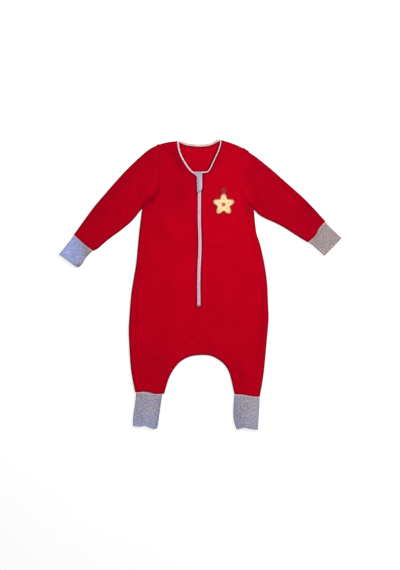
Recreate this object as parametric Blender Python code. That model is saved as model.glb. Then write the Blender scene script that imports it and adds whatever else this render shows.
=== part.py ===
"""A child's sleep sack with sleeves and legs, laid flat on its back.

Millimetres in the tables, metres in the meshes. The garment lies on z = 0 with its
neck towards +Y and its front up, so the wearer's right side is at -X. Every panel is
a wall of cloth. The front lies on the back, and both roll towards each other at the
free edges of the garment, where they meet at half height.
"""

import math
from collections import Counter, namedtuple

import bmesh
import bpy
import numpy as np

MM = 0.001

CLOTH = 2.0  # thickness of the body cloth
RIB = 2.6  # thickness of a doubled rib cuff's wall
SEAM = 0.3  # gap between two pieces at a seam
ARMHOLE_SEAM = 0.4  # the same at the armholes, whose walls turn with the shoulder
SHOULDER_SPARE = 0.8  # further gap beside the binding where the front rolls down
EDGE_HEIGHT = 2.6  # height of the side seams
FRONT_HEIGHT = 6.4  # top of the front where it lies flat
FRONT_ROLL = 9.0  # width of the front's rounded edge
BACK_ROLL = 3.0  # width of the back's rounded edge
CUFF_HEIGHT = 6.2
CUFF_ROLL = 4.5

BINDING_WIDTH = 6.6
BACK_BINDING_WIDTH = 5.6
BINDING_THICKNESS = 3.4

ZIP_WINDOW = 9.6  # width of the zip that shows between the fronts
ZIP_TOP = 296.0
ZIP_END = -60.6
TAPE_WIDTH = 10.8
TAPE_THICKNESS = 0.7
CHAIN_WIDTH = 4.4
CHAIN_THICKNESS = 1.6
SLIDER_LENGTH = 9.0
SLIDER_WIDTH = 8.4
SLIDER_THICKNESS = 2.8
SLIDER_TOP = 292.0
PULL_LENGTH = 24.0
PULL_WIDTH = 5.5
PULL_THICKNESS = 0.9
STOP_LENGTH = 3.5
STOP_WIDTH = 5.0
STOP_THICKNESS = 2.0
GARAGE_THICKNESS = 1.3
GARAGE_RISE = 2.4  # how far its middle stands over its edges, to clear the slider

PATCH_CENTRE = (62.6, 216.0)
PATCH_RADIUS = 24.0
PATCH_POINTS = 5
PATCH_POINT_DEPTH = 0.24  # how far the star's points stand out, as a share of the radius
PATCH_THICKNESS = 1.0

ROLLED = (0.0, 1.2, 4.5, 9.0)  # columns of the mesh beside a rolled edge
BACK_ROLLED = (0.0, 1.0, 3.0)
CUFF_ROLLED = (0.0, 1.2, 4.5)

# Rows of the body panels, from the shoulder down. The outer edge first follows the
# armhole and then the side seam; the inner edge follows the neckline, the zip, the
# middle seam and the arch.
ARMHOLE_ROWS = 13
NECK_ROWS = 10
ZIP_ROWS = 6  # below the armpit
SEAM_ROWS = 3
ARCH_ROWS = 7
ZIP_CLOSES = 3.0  # height over which the fronts close below the zip
ZIP_END_LEVEL = -20.0  # level of the side seam beside the zip's end
CROTCH_LEVEL = -140.0  # level of the side seam beside the crotch


def table(columns, *rows):
    """A short table, as a list of rows with named columns."""
    row = namedtuple("Row", columns)
    return [row(*values) for values in rows]


# The side seams from the armpits to the ankles, a row for each level of the body.
SIDES = table(
    "right_x right_y left_x left_y",
    (-157.4, 205.3, 144.5, 201.6),
    (-163.6, 147.3, 151.0, 142.0),
    (-167.0, 106.0, 161.0, 109.0),
    (-171.7, 56.0, 172.0, 58.0),
    (-179.0, 13.6, 179.0, 8.0),
    (-185.5, -28.2, 182.0, -38.0),
    (-189.5, -80.0, 183.3, -90.0),
    (-192.0, -124.0, 181.0, -130.0),
    (-190.1, -176.7, 176.0, -182.0),
    (-186.6, -224.0, 171.2, -232.0),
    (-181.0, -257.0, 166.0, -269.0),
    (-176.0, -291.0, 160.4, -303.4),
)

# The arch between the legs, a row for each drop below the crotch.
CROTCH_X = 0.0
CROTCH_Y = -189.7
ARCH = table(
    "right_x right_y left_x left_y",
    (-28.0, -193.7, 26.0, -191.2),
    (-53.0, -207.0, 45.0, -199.5),
    (-69.7, -226.0, 61.5, -211.5),
    (-82.0, -246.6, 74.0, -228.0),
    (-90.4, -269.3, 83.0, -250.0),
    (-97.7, -295.0, 92.6, -295.5),
)

# Each sleeve, a row for each section from its armhole to its wrist seam.
RIGHT_SLEEVE = table(
    "top_x top_y under_x under_y",
    (-112.1, 378.4, -157.4, 205.3),
    (-135.3, 365.5, -171.5, 187.2),
    (-159.0, 346.5, -187.1, 169.4),
    (-197.4, 311.4, -203.0, 156.0),
    (-231.0, 273.5, -218.5, 143.5),
    (-262.0, 237.5, -238.0, 129.5),
    (-289.0, 207.0, -256.0, 115.5),
    (-316.0, 169.5, -274.5, 99.0),
    (-342.1, 134.3, -289.2, 90.6),
)
LEFT_SLEEVE = table(
    "top_x top_y under_x under_y",
    (114.2, 369.2, 144.5, 201.6),
    (135.5, 355.0, 158.0, 190.0),
    (155.5, 340.5, 174.5, 180.5),
    (193.5, 311.4, 193.6, 171.8),
    (224.0, 287.0, 214.0, 162.0),
    (254.5, 259.5, 233.0, 151.0),
    (284.0, 231.0, 252.0, 139.0),
    (311.0, 201.5, 271.0, 126.5),
    (338.0, 170.5, 290.3, 113.8),
)

# The armhole seams, a row for each point from the shoulder to the armpit.
ARMHOLES = table(
    "right_x right_y left_x left_y",
    (-112.1, 378.4, 114.2, 369.2),
    (-110.8, 322.8, 117.5, 322.8),
    (-114.5, 269.0, 118.8, 242.0),
    (-126.0, 237.5, 129.0, 219.5),
    (-157.4, 205.3, 144.5, 201.6),
)

# The middle of the neckline binding, a row for each point from the shoulder to the zip.
RIGHT_NECKLINE = table(
    "x y",
    (-61.3, 388.0),
    (-58.6, 367.3),
    (-52.7, 348.4),
    (-42.6, 329.5),
    (-31.9, 313.9),
    (-23.2, 304.6),
    (-14.9, 300.2),
    (-5.6, 299.5),
)
LEFT_NECKLINE = table(
    "x y",
    (55.1, 391.0),
    (53.2, 376.0),
    (47.3, 358.7),
    (38.6, 339.8),
    (30.0, 321.0),
    (23.0, 308.3),
    (16.4, 303.6),
    (5.2, 303.2),
)
BACK_NECKLINE = table(
    "x y",
    (-56.0, 385.6),
    (-38.9, 378.4),
    (-18.1, 375.0),
    (-1.0, 374.2),
    (19.7, 375.7),
    (35.1, 381.5),
    (50.0, 390.6),
)

# The middle line of the front, first along the zip and then along the seam below it.
MIDDLE = table(
    "y x",
    (310.0, -0.3),
    (242.0, -0.3),
    (99.0, -0.5),
    (39.0, -2.6),
    (-42.0, -3.2),
    (-63.0, -3.2),
    (-122.0, -5.5),
    (-189.7, 0.0),
)

# The cover tab of the zip, a row for each level; rest is the height of its edges.
GARAGE = table(
    "right_x right_y left_x left_y rest",
    (-17.6, 303.8, 6.2, 304.2, 7.6),
    (-16.8, 298.0, 6.3, 298.6, 7.6),
    (-9.6, 290.6, 6.4, 292.0, 7.2),
    (-8.9, 276.0, 6.5, 277.0, 6.9),
    (-8.2, 262.0, 6.5, 263.5, 6.8),
    (-7.6, 246.0, 5.0, 253.6, 6.8),
)

# The cuffs, a row for each section from the seam to the open end.
RIGHT_WRIST = table(
    "first_x first_y second_x second_y",
    (-342.1, 134.3, -289.2, 90.6),
    (-357.5, 113.0, -301.5, 76.5),
    (-371.5, 95.0, -315.5, 60.0),
    (-382.4, 81.2, -329.6, 44.6),
)
LEFT_WRIST = table(
    "first_x first_y second_x second_y",
    (338.0, 170.5, 290.3, 113.8),
    (354.5, 153.5, 305.5, 102.5),
    (370.0, 138.0, 321.0, 89.5),
    (382.4, 125.0, 335.1, 77.3),
)
RIGHT_ANKLE = table(
    "first_x first_y second_x second_y",
    (-175.0, -291.05, -101.5, -294.8),
    (-178.5, -318.0, -104.5, -319.0),
    (-179.8, -346.0, -108.5, -346.0),
    (-182.3, -382.0, -115.0, -387.6),
)
LEFT_ANKLE = table(
    "first_x first_y second_x second_y",
    (92.6, -295.5, 160.4, -303.4),
    (89.5, -320.0, 158.6, -322.0),
    (88.5, -346.0, 157.1, -348.0),
    (96.0, -391.0, 155.6, -393.0),
)

# The largest folds of the front and the sleeves: each runs from one point to the
# other, stands as high as it says and falls away over its width to each side.
FOLDS = table(
    "from_x from_y to_x to_y width height",
    (-135.0, 285.0, -160.0, 232.0, 12.0, 3.2),
    (-122.0, 252.0, -150.0, 214.0, 7.0, -1.6),
    (114.0, 262.0, 119.0, 222.0, 8.0, 1.8),
    (124.0, 240.0, 143.0, 206.0, 7.0, -1.5),
    (-195.0, 262.0, -262.0, 176.0, 20.0, 2.2),
    (-170.0, 330.0, -270.0, 222.0, 10.0, -0.9),
    (-98.0, 366.0, -58.0, 330.0, 12.0, 1.6),
    (190.0, 250.0, 280.0, 178.0, 22.0, 2.0),
    (12.0, -84.0, 54.0, -92.0, 8.0, 1.6),
    (10.0, -150.0, 6.0, -166.0, 12.0, -1.2),
    (-150.0, -60.0, -158.0, -220.0, 26.0, 1.8),
    (142.0, -70.0, 138.0, -230.0, 26.0, 1.8),
)


def clear_scene():
    for thing in list(bpy.data.objects):
        bpy.data.objects.remove(thing)


def smooth(points, step=6.0):
    """A smooth curve through the points, as a close polyline."""
    points = np.array(points, dtype=float)
    first = 2 * points[0] - points[1]
    last = 2 * points[-1] - points[-2]
    ends = np.vstack([first, points, last])
    line = []
    for a, b, c, d in zip(ends, ends[1:], ends[2:], ends[3:]):
        count = max(2, int(np.linalg.norm(c - b) / step))
        for t in np.arange(count) / count:
            line.append(
                0.5
                * (
                    2 * b
                    + (c - a) * t
                    + (2 * a - 5 * b + 4 * c - d) * t**2
                    + (3 * b - a - 3 * c + d) * t**3
                )
            )
    line.append(points[-1])
    return np.array(line)


def lengths(line):
    steps = np.linalg.norm(np.diff(line, axis=0), axis=1)
    return np.concatenate([[0.0], np.cumsum(steps)])


def at(line, distances):
    """Points of a polyline at these distances along it."""
    along = lengths(line)
    columns = [np.interp(distances, along, line[:, i]) for i in range(line.shape[1])]
    return np.stack(columns, axis=1)


def even(line, count):
    return at(line, np.linspace(0.0, lengths(line)[-1], count))


def beside(length, rolled, inner):
    """Distances across a section: close together beside both edges, even between them."""
    near = np.array(rolled)
    between = np.linspace(near[-1], length - near[-1], inner + 2)[1:-1]
    return np.concatenate([near, between, length - near[::-1]])


def shifted(line, offset):
    """A polyline moved sideways by one offset or one a point, to its left if positive."""
    line = np.array(line, dtype=float)
    steps = np.diff(line, axis=0)
    steps /= np.linalg.norm(steps, axis=1)[:, None]
    before = np.vstack([steps[:1], steps])
    after = np.vstack([steps, steps[-1:]])
    middle = before + after
    middle /= np.linalg.norm(middle, axis=1)[:, None]
    square = (middle * after).sum(axis=1)
    normal = np.stack([-middle[:, 1], middle[:, 0]], axis=1)
    return line + normal * (offset / square)[:, None]


def middle_x(y):
    ys = [row.y for row in reversed(MIDDLE)]
    xs = [row.x for row in reversed(MIDDLE)]
    return float(np.interp(y, ys, xs))


class Lay:
    """How cloth lies: its free edges, and its height at each distance from them.

    Each edge is a polyline with the cloth on its left.
    """

    def __init__(self, edges, height, roll, cloth, edge_height, folds=()):
        starts = [np.array(edge)[:-1] for edge in edges]
        ends = [np.array(edge)[1:] for edge in edges]
        self.start = np.vstack(starts)
        self.run = np.vstack(ends) - self.start
        self.height = height
        self.roll = roll
        self.cloth = cloth
        self.edge_height = edge_height
        self.folds = folds

    def nearest(self, point):
        """The distance to the nearest free edge, and the direction away from it."""
        offset = point - self.start
        share = (offset * self.run).sum(axis=1) / (self.run**2).sum(axis=1)
        foot = self.start + self.run * np.clip(share, 0.0, 1.0)[:, None]
        away = point - foot
        distance = np.linalg.norm(away, axis=1)
        index = int(distance.argmin())
        if distance[index] > 0.05:
            return float(distance[index]), away[index] / distance[index]
        near = self.run[distance < distance[index] + 0.02]
        near = (near / np.linalg.norm(near, axis=1)[:, None]).sum(axis=0)
        near /= np.linalg.norm(near)
        return 0.0, np.array([-near[1], near[0]])

    def fold(self, point):
        height = 0.0
        for row in self.folds:
            start = np.array([row.from_x, row.from_y])
            run = np.array([row.to_x, row.to_y]) - start
            share = np.dot(point - start, run) / np.dot(run, run)
            inside = min(max(share, 0.0), 1.0)
            away = np.linalg.norm(point - start - run * inside)
            height += row.height * math.exp(-((away / row.width) ** 2))
        return height

    def wall(self, point, front=True, seam=0.0):
        """The outer and inner point of the cloth's wall over a point of the plan.

        seam is the gap that the two layers leave at the free edge.
        """
        point = np.array(point, dtype=float)
        distance, away = self.nearest(point)
        roll = self.roll if front else BACK_ROLL
        cos = max(0.0, 1.0 - distance / roll)
        sin = math.sqrt(1.0 - cos * cos)
        sign = 1.0 if front else -1.0
        edge = self.edge_height + sign * seam / 2
        flat = self.height + self.fold(point) if front else 0.0
        outer_z = edge + (flat - edge) * sin
        inner_z = edge + (flat - sign * self.cloth - edge) * sin
        inner = point + away * self.cloth * cos
        return (*point, outer_z), (*inner, inner_z)


def paint(name, colour, roughness=0.8, metallic=0.0):
    material = bpy.data.materials.new(name)
    material.use_nodes = True
    shader = material.node_tree.nodes["Principled BSDF"]
    shader.inputs["Base Color"].default_value = (*colour, 1.0)
    shader.inputs["Roughness"].default_value = roughness
    shader.inputs["Metallic"].default_value = metallic
    return material


def add_object(name, points, faces, material):
    mesh = bpy.data.meshes.new(name)
    mesh.from_pydata([tuple(c * MM for c in p) for p in points], [], faces)
    shape = bmesh.new()
    shape.from_mesh(mesh)
    bmesh.ops.recalc_face_normals(shape, faces=shape.faces)
    if shape.calc_volume(signed=True) < 0:
        bmesh.ops.reverse_faces(shape, faces=shape.faces)
    shape.to_mesh(mesh)
    shape.free()
    mesh.shade_smooth()
    mesh.set_sharp_from_angle(angle=math.radians(40))
    mesh.materials.append(material)
    part = bpy.data.objects.new(name, mesh)
    bpy.context.collection.objects.link(part)
    return part


def cloth_object(name, grids, material):
    """One closed wall from grids of (outer, inner) points, welded where they meet."""
    index = {}
    pairs = []
    quads = []

    def vertex(pair):
        key = tuple(round(c, 3) for c in pair[0])
        if key not in index:
            index[key] = len(pairs)
            pairs.append(pair)
        return index[key]

    for grid in grids:
        numbers = [[vertex(pair) for pair in row] for row in grid]
        for one, two in zip(numbers, numbers[1:]):
            for a, b, c, d in zip(one, one[1:], two[1:], two):
                quads.append((a, b, c, d))
    count = len(pairs)
    points = [outer for outer, _ in pairs] + [inner for _, inner in pairs]
    uses = Counter(
        tuple(sorted((quad[i], quad[(i + 1) % 4]))) for quad in quads for i in range(4)
    )
    rim = [edge for edge in sorted(uses) if uses[edge] == 1]
    faces = list(quads)
    faces += [tuple(count + v for v in reversed(quad)) for quad in quads]
    faces += [(b, a, count + a, count + b) for a, b in rim]
    return add_object(name, points, faces, material)


def bar(name, path, width, thickness, material, corner=0.3):
    """A flat strip with bevelled corners, swept along (x, y, z) points in plan."""
    path = np.array(path, dtype=float)
    half = width / 2
    rise = thickness / 2
    cut = corner * thickness
    section = [
        (-half, -rise + cut),
        (-half + cut, -rise),
        (half - cut, -rise),
        (half, -rise + cut),
        (half, rise - cut),
        (half - cut, rise),
        (-half + cut, rise),
        (-half, rise - cut),
    ]
    rails = [shifted(path[:, :2], across) for across, _ in section]
    points = []
    for i, place in enumerate(path):
        for rail, (_, up) in zip(rails, section):
            points.append((*rail[i], place[2] + up))
    sides = len(section)
    faces = [tuple(range(sides))]
    last = len(points) - sides
    faces.append(tuple(last + i for i in reversed(range(sides))))
    for ring in range(0, last, sides):
        for i in range(sides):
            after = (i + 1) % sides
            faces.append(
                (ring + after, ring + i, ring + sides + i, ring + sides + after)
            )
    return add_object(name, points, faces, material)


def corners(rows, first, second):
    """Two columns of a table as points."""
    return [(getattr(row, first), getattr(row, second)) for row in rows]


def join(*lines):
    return np.vstack([np.array(line) for line in lines])


def half_arch(name):
    """The arch from the crotch to one ankle, cut from the smooth whole arch."""
    right = corners(ARCH, "right_x", "right_y")
    left = corners(ARCH, "left_x", "left_y")
    line = smooth([*right[::-1], (CROTCH_X, CROTCH_Y), *left])
    top = int(np.linalg.norm(line - (CROTCH_X, CROTCH_Y), axis=1).argmin())
    return line[top::-1] if name == "right" else line[top:]


class Side:
    """The outlines of the wearer's right or left half, worked out from the tables."""

    def __init__(self, name, sleeve, neckline):
        self.name = name
        self.out = -1.0 if name == "right" else 1.0
        self.sleeve = sleeve
        self.armhole = smooth(corners(ARMHOLES, f"{name}_x", f"{name}_y"))
        self.side_seam = smooth(corners(SIDES, f"{name}_x", f"{name}_y"))
        self.arch = half_arch(name)
        self.sleeve_top = smooth(corners(sleeve, "top_x", "top_y"))
        self.sleeve_under = smooth(corners(sleeve, "under_x", "under_y"))
        self.neckline = smooth([(row.x, row.y) for row in neckline])
        # The binding's outer edge is the neckline moved out by half its width.
        self.neck_rows = at(self.neckline, self.neck_distances())
        spare = np.zeros(NECK_ROWS)
        spare[: len(ROLLED)] = SHOULDER_SPARE * (1.0 - np.array(ROLLED) / FRONT_ROLL)
        gap = BINDING_WIDTH / 2 + SEAM + spare
        self.neck_edge = shifted(self.neck_rows, self.out * gap)
        self.neck_point = self.neck_edge[0]

    def neck_distances(self):
        """Close rows at the shoulder, then even ones as far as the zip."""
        whole = lengths(self.neckline)[-1]
        count = NECK_ROWS - len(ROLLED)
        return [*ROLLED, *np.linspace(ROLLED[-1], whole, count + 1)[1:]]

    def armhole_rows(self, offset):
        """The armhole's points, moved off the seam into the body (or the sleeve)."""
        whole = lengths(self.armhole)[-1]
        rows = at(self.armhole, beside(whole, ROLLED, ARMHOLE_ROWS - 2 * len(ROLLED)))
        return shifted(rows, -self.out * offset)


RIGHT = Side("right", RIGHT_SLEEVE, RIGHT_NECKLINE)
LEFT = Side("left", LEFT_SLEEVE, LEFT_NECKLINE)


def free_edges():
    """The garment's free edges from neck to cuffs, with the cloth on their left."""
    return [
        join([RIGHT.neck_point], RIGHT.sleeve_top),
        join(RIGHT.sleeve_under[::-1], RIGHT.side_seam[1:]),
        join(RIGHT.arch[::-1], LEFT.arch[1:]),
        join(LEFT.side_seam[::-1], LEFT.sleeve_under[1:]),
        join(LEFT.sleeve_top[::-1], [LEFT.neck_point]),
    ]


BODY = Lay(free_edges(), FRONT_HEIGHT, FRONT_ROLL, CLOTH, EDGE_HEIGHT, FOLDS)

def outer_edge(side):
    """The body's outer edge as rows: the armhole, then the side seam to the ankle."""
    seam = side.side_seam
    along = lengths(seam)
    order = np.argsort(seam[:, 1])
    ends = np.interp(
        [ZIP_END_LEVEL, CROTCH_LEVEL], seam[order, 1], along[order]
    )
    closed = ends[0] + ZIP_CLOSES
    count = SEAM_ROWS + len(ROLLED)
    distances = [
        *np.linspace(0.0, ends[0], ZIP_ROWS + 1)[1:],
        *np.linspace(closed, ends[1], count + 1),
        *np.linspace(ends[1], along[-1], ARCH_ROWS + 1)[1:],
    ]
    return join(side.armhole_rows(ARMHOLE_SEAM / 2), at(seam, distances))


def zip_levels(top):
    """Levels of the rows beside the zip, the first ones beside the armhole."""
    beside_armhole = ARMHOLE_ROWS - NECK_ROWS
    return list(np.linspace(top, ZIP_END, beside_armhole + ZIP_ROWS + 1)[1:])


def seam_levels():
    """Levels of the rows beside the middle seam, close together at the crotch."""
    above = CROTCH_Y + ROLLED[-1]
    spaced = np.linspace(ZIP_END - ZIP_CLOSES, above, SEAM_ROWS + 2)
    return [*spaced, *(CROTCH_Y + r for r in reversed(ROLLED[:-1]))]


def front_inner_edge(side):
    """The front's inner edge as rows: neckline, zip, middle seam, arch."""
    beside_zip = side.out * ZIP_WINDOW / 2
    rows = [(middle_x(y) + beside_zip, y) for y in zip_levels(ZIP_TOP)]
    rows += [(middle_x(y) + side.out * SEAM / 2, y) for y in seam_levels()]
    arch = even(side.arch, ARCH_ROWS + 1)[1:]
    return join(side.neck_edge, rows, arch)


def back_neck():
    """The middle of the back's binding, with as many rows on each half."""
    line = smooth([(row.x, row.y) for row in BACK_NECKLINE])
    middle = lengths(line)[int(np.abs(line[:, 0] - CROTCH_X).argmin())]
    right = np.linspace(0.0, middle, NECK_ROWS - 1)
    left = np.linspace(middle, lengths(line)[-1], NECK_ROWS - 1)
    return at(line, [*right, *left[1:]])


def back_inner_edge(side):
    """The back's inner edge as rows: neckline, middle line, arch."""
    edge = shifted(back_neck(), -(BACK_BINDING_WIDTH / 2 + SEAM))
    edge = edge if side.out < 0 else edge[::-1]
    edge = edge[: NECK_ROWS - 1]
    rows = [(CROTCH_X, y) for y in [*zip_levels(edge[-1][1]), *seam_levels()]]
    arch = even(side.arch, ARCH_ROWS + 1)[1:]
    return join([side.neck_point], edge, rows, arch)


def half_panel(side, inner, rolled, between, front):
    grid = []
    for a, b in zip(outer_edge(side), inner):
        line = np.array([a, b])
        places = at(line, beside(math.dist(a, b), rolled, between))
        grid.append([BODY.wall(place, front, SEAM) for place in places])
    return grid


def pulled_back(grid, gap):
    """The last row of a grid, moved back from its seam by this gap."""
    for near, last in zip(grid[-2], grid[-1]):
        last_outer, last_inner = (np.array(p) for p in last)
        back = np.array(near[0]) - last_outer
        back *= gap / np.linalg.norm(back)
        last_outer += back
        last_inner += back
        yield tuple(last_outer), tuple(last_inner)


def fronts(material):
    for side in (RIGHT, LEFT):
        grid = half_panel(side, front_inner_edge(side), ROLLED, 4, True)
        grid[-1] = list(pulled_back(grid, SEAM / 2))
        cloth_object(f"front_{side.name}", [grid], material)


def back(material):
    grids = []
    for side in (RIGHT, LEFT):
        grid = half_panel(side, back_inner_edge(side), BACK_ROLLED, 3, False)
        grid[-1] = list(pulled_back(grid, SEAM / 2))
        grids.append(grid)
    cloth_object("back", grids, material)


def sleeves(material):
    for side in (RIGHT, LEFT):
        rows = [side.armhole_rows(-ARMHOLE_SEAM / 2)]
        for row in side.sleeve[1:]:
            ends = np.array([(row.top_x, row.top_y), (row.under_x, row.under_y)])
            length = math.dist(*ends)
            between = ARMHOLE_ROWS - 2 * len(ROLLED)
            rows.append(at(ends, beside(length, ROLLED, between)))
        grid = []
        for places in rows:
            over = [BODY.wall(place, True) for place in places]
            under = [BODY.wall(place, False) for place in places[-2:0:-1]]
            grid.append([*over, *under, over[0]])
        grid[-1] = list(pulled_back(grid, SEAM / 2))
        cloth_object(f"sleeve_{side.name}", [grid], material)


def cuff(name, rows, material):
    """A doubled rib tube, flattened."""
    first = smooth(corners(rows, "first_x", "first_y"))
    second = smooth(corners(rows, "second_x", "second_y"))
    edges = [first, second[::-1]] if turns_left(rows) else [first[::-1], second]
    lay = Lay(edges, CUFF_HEIGHT, CUFF_ROLL, RIB, CUFF_HEIGHT / 2)
    grid = []
    for row in rows:
        ends = np.array([(row.first_x, row.first_y), (row.second_x, row.second_y)])
        length = math.dist(*ends)
        places = at(ends, beside(length, CUFF_ROLLED, 2))
        over = [lay.wall(place, True) for place in places]
        under = [lay.wall(place, False) for place in places[-2:0:-1]]
        grid.append([*over, *under, over[0]])
    grid.reverse()
    grid[-1] = list(pulled_back(grid, SEAM))
    cloth_object(name, [grid], material)


def turns_left(rows):
    """Whether the cuff lies to the left of its first edge, seen along it."""
    start = np.array([rows[0].first_x, rows[0].first_y])
    ahead = np.array([rows[1].first_x, rows[1].first_y]) - start
    across = np.array([rows[0].second_x, rows[0].second_y]) - start
    return ahead[0] * across[1] - ahead[1] * across[0] > 0


def neck_bindings(material, back_material):
    lowest = EDGE_HEIGHT + SEAM / 2 + BINDING_THICKNESS / 2
    for side in (RIGHT, LEFT):
        path = []
        for row, edge in zip(side.neck_rows, side.neck_edge):
            outer, _ = BODY.wall(edge, True, SEAM)
            path.append((*row, max(outer[2] - CLOTH / 2, lowest)))
        bar(f"neck_binding_{side.name}", path, BINDING_WIDTH, BINDING_THICKNESS, material)
    path = [(x, y, BINDING_THICKNESS / 2) for x, y in back_neck()]
    bar("neck_binding_back", path, BACK_BINDING_WIDTH, BINDING_THICKNESS, back_material)


def zip_parts(tape, chain, metal):
    tape_z = FRONT_HEIGHT - CLOTH - SEAM - TAPE_THICKNESS / 2
    levels = np.linspace(ZIP_TOP - 1.0, ZIP_END - 2.0, 9)
    for name, out in (("right", -1.0), ("left", 1.0)):
        offset = out * (TAPE_WIDTH / 2 + SEAM / 2)
        path = [(middle_x(y) + offset, y, tape_z) for y in levels]
        bar(f"zip_tape_{name}", path, TAPE_WIDTH, TAPE_THICKNESS, tape)
    base = tape_z + TAPE_THICKNESS / 2 + SEAM
    stop_y = ZIP_END + 4.2
    chain_top = SLIDER_TOP - SLIDER_LENGTH - SEAM
    chain_end = stop_y + STOP_LENGTH / 2 + SEAM
    levels = np.linspace(chain_top, chain_end, 9)
    path = [(middle_x(y), y, base + CHAIN_THICKNESS / 2) for y in levels]
    bar("zip_chain", path, CHAIN_WIDTH, CHAIN_THICKNESS, chain)
    x = middle_x(stop_y)
    z = base + STOP_THICKNESS / 2
    ends = [stop_y + STOP_LENGTH / 2, stop_y - STOP_LENGTH / 2]
    bar("zip_stop", [(x, y, z) for y in ends], STOP_WIDTH, STOP_THICKNESS, metal)
    x = middle_x(SLIDER_TOP)
    z = base + SLIDER_THICKNESS / 2
    ends = [SLIDER_TOP, SLIDER_TOP - SLIDER_LENGTH]
    bar("zip_slider", [(x, y, z) for y in ends], SLIDER_WIDTH, SLIDER_THICKNESS, metal)
    z = base + SLIDER_THICKNESS + SEAM + PULL_THICKNESS / 2
    top = SLIDER_TOP - 2.0
    ends = [top, top - PULL_LENGTH]
    bar("zip_pull", [(x, y, z) for y in ends], PULL_WIDTH, PULL_THICKNESS, metal)


def zip_garage(material):
    """The cover tab, arched over the slider."""
    grid = []
    for row in GARAGE:
        pairs = []
        for share in np.linspace(0.0, 1.0, 7):
            x = row.right_x + (row.left_x - row.right_x) * share
            y = row.right_y + (row.left_y - row.right_y) * share
            z = row.rest + GARAGE_RISE * math.sin(math.pi * share) ** 0.7
            pairs.append(((x, y, z + GARAGE_THICKNESS), (x, y, z)))
        grid.append(pairs)
    cloth_object("zip_garage", [grid], material)


def star_radius(angle):
    wave = math.cos(PATCH_POINTS * (angle - math.pi / 2))
    return PATCH_RADIUS * (1.0 + PATCH_POINT_DEPTH * wave)


def chest_patch(material):
    """A star with round points, lying on the left front."""
    count = 8 * PATCH_POINTS
    centre = np.array(PATCH_CENTRE)
    plan = [centre]
    for share in (0.55, 1.0):
        for i in range(count):
            angle = 2 * math.pi * i / count
            spoke = np.array([math.cos(angle), math.sin(angle)])
            plan.append(centre + spoke * star_radius(angle) * share)
    surface = [BODY.wall(place)[0] for place in plan]
    under = [(x, y, z + SEAM) for x, y, z in surface]
    over = [(x, y, z + SEAM + PATCH_THICKNESS) for x, y, z in surface]
    size = len(plan)
    faces = []
    for i in range(count):
        after = (i + 1) % count
        inner = (1 + i, 1 + after)
        outer = (1 + count + i, 1 + count + after)
        faces.append((0, *inner))
        faces.append((inner[0], outer[0], outer[1], inner[1]))
        faces.append((size, size + inner[1], size + inner[0]))
        faces.append(
            (size + inner[1], size + outer[1], size + outer[0], size + inner[0])
        )
        faces.append((outer[0], size + outer[0], size + outer[1], outer[1]))
    add_object("chest_patch", under + over, faces, material)


def main():
    clear_scene()
    red = paint("red_jersey", (0.46, 0.003, 0.012), 0.85)
    rib = paint("grey_rib", (0.33, 0.30, 0.36), 0.9)
    fronts(red)
    back(red)
    sleeves(red)
    cuff("wrist_cuff_right", RIGHT_WRIST, rib)
    cuff("wrist_cuff_left", LEFT_WRIST, rib)
    cuff("ankle_cuff_right", RIGHT_ANKLE, rib)
    cuff("ankle_cuff_left", LEFT_ANKLE, rib)
    neck_bindings(
        paint("pale_binding", (0.80, 0.50, 0.50), 0.8),
        paint("beige_binding", (0.50, 0.42, 0.38), 0.8),
    )
    zip_parts(
        paint("pale_tape", (0.82, 0.48, 0.55), 0.75),
        paint("pale_coil", (0.62, 0.40, 0.44), 0.45),
        paint("dark_metal", (0.17, 0.05, 0.045), 0.4, 1.0),
    )
    zip_garage(paint("grey_tab", (0.45, 0.42, 0.50), 0.9))
    chest_patch(paint("tan_felt", (0.85, 0.52, 0.28), 0.85))


main()
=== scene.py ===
import math

import bmesh
import bpy
import numpy as np
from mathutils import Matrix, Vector, noise


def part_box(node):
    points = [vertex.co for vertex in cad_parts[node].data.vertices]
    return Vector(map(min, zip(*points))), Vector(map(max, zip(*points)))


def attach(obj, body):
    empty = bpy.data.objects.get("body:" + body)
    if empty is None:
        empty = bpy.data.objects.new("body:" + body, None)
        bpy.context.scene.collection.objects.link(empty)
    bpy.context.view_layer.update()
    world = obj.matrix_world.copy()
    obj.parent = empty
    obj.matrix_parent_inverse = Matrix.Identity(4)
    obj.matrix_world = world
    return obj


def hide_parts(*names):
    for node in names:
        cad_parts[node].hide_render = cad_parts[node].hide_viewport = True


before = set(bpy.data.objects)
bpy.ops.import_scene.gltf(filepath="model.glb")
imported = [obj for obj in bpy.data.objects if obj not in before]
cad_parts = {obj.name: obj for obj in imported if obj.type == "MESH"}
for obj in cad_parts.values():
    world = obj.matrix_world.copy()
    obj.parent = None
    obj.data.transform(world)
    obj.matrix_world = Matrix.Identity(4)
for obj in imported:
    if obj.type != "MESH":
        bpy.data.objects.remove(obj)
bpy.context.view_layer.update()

mm = 0.001  # every size below is in millimetres, and meshes are in metres
scene = bpy.context.scene
sides = {"right": -1.0, "left": 1.0}  # the wearer's, and which way each lies from the middle

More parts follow.
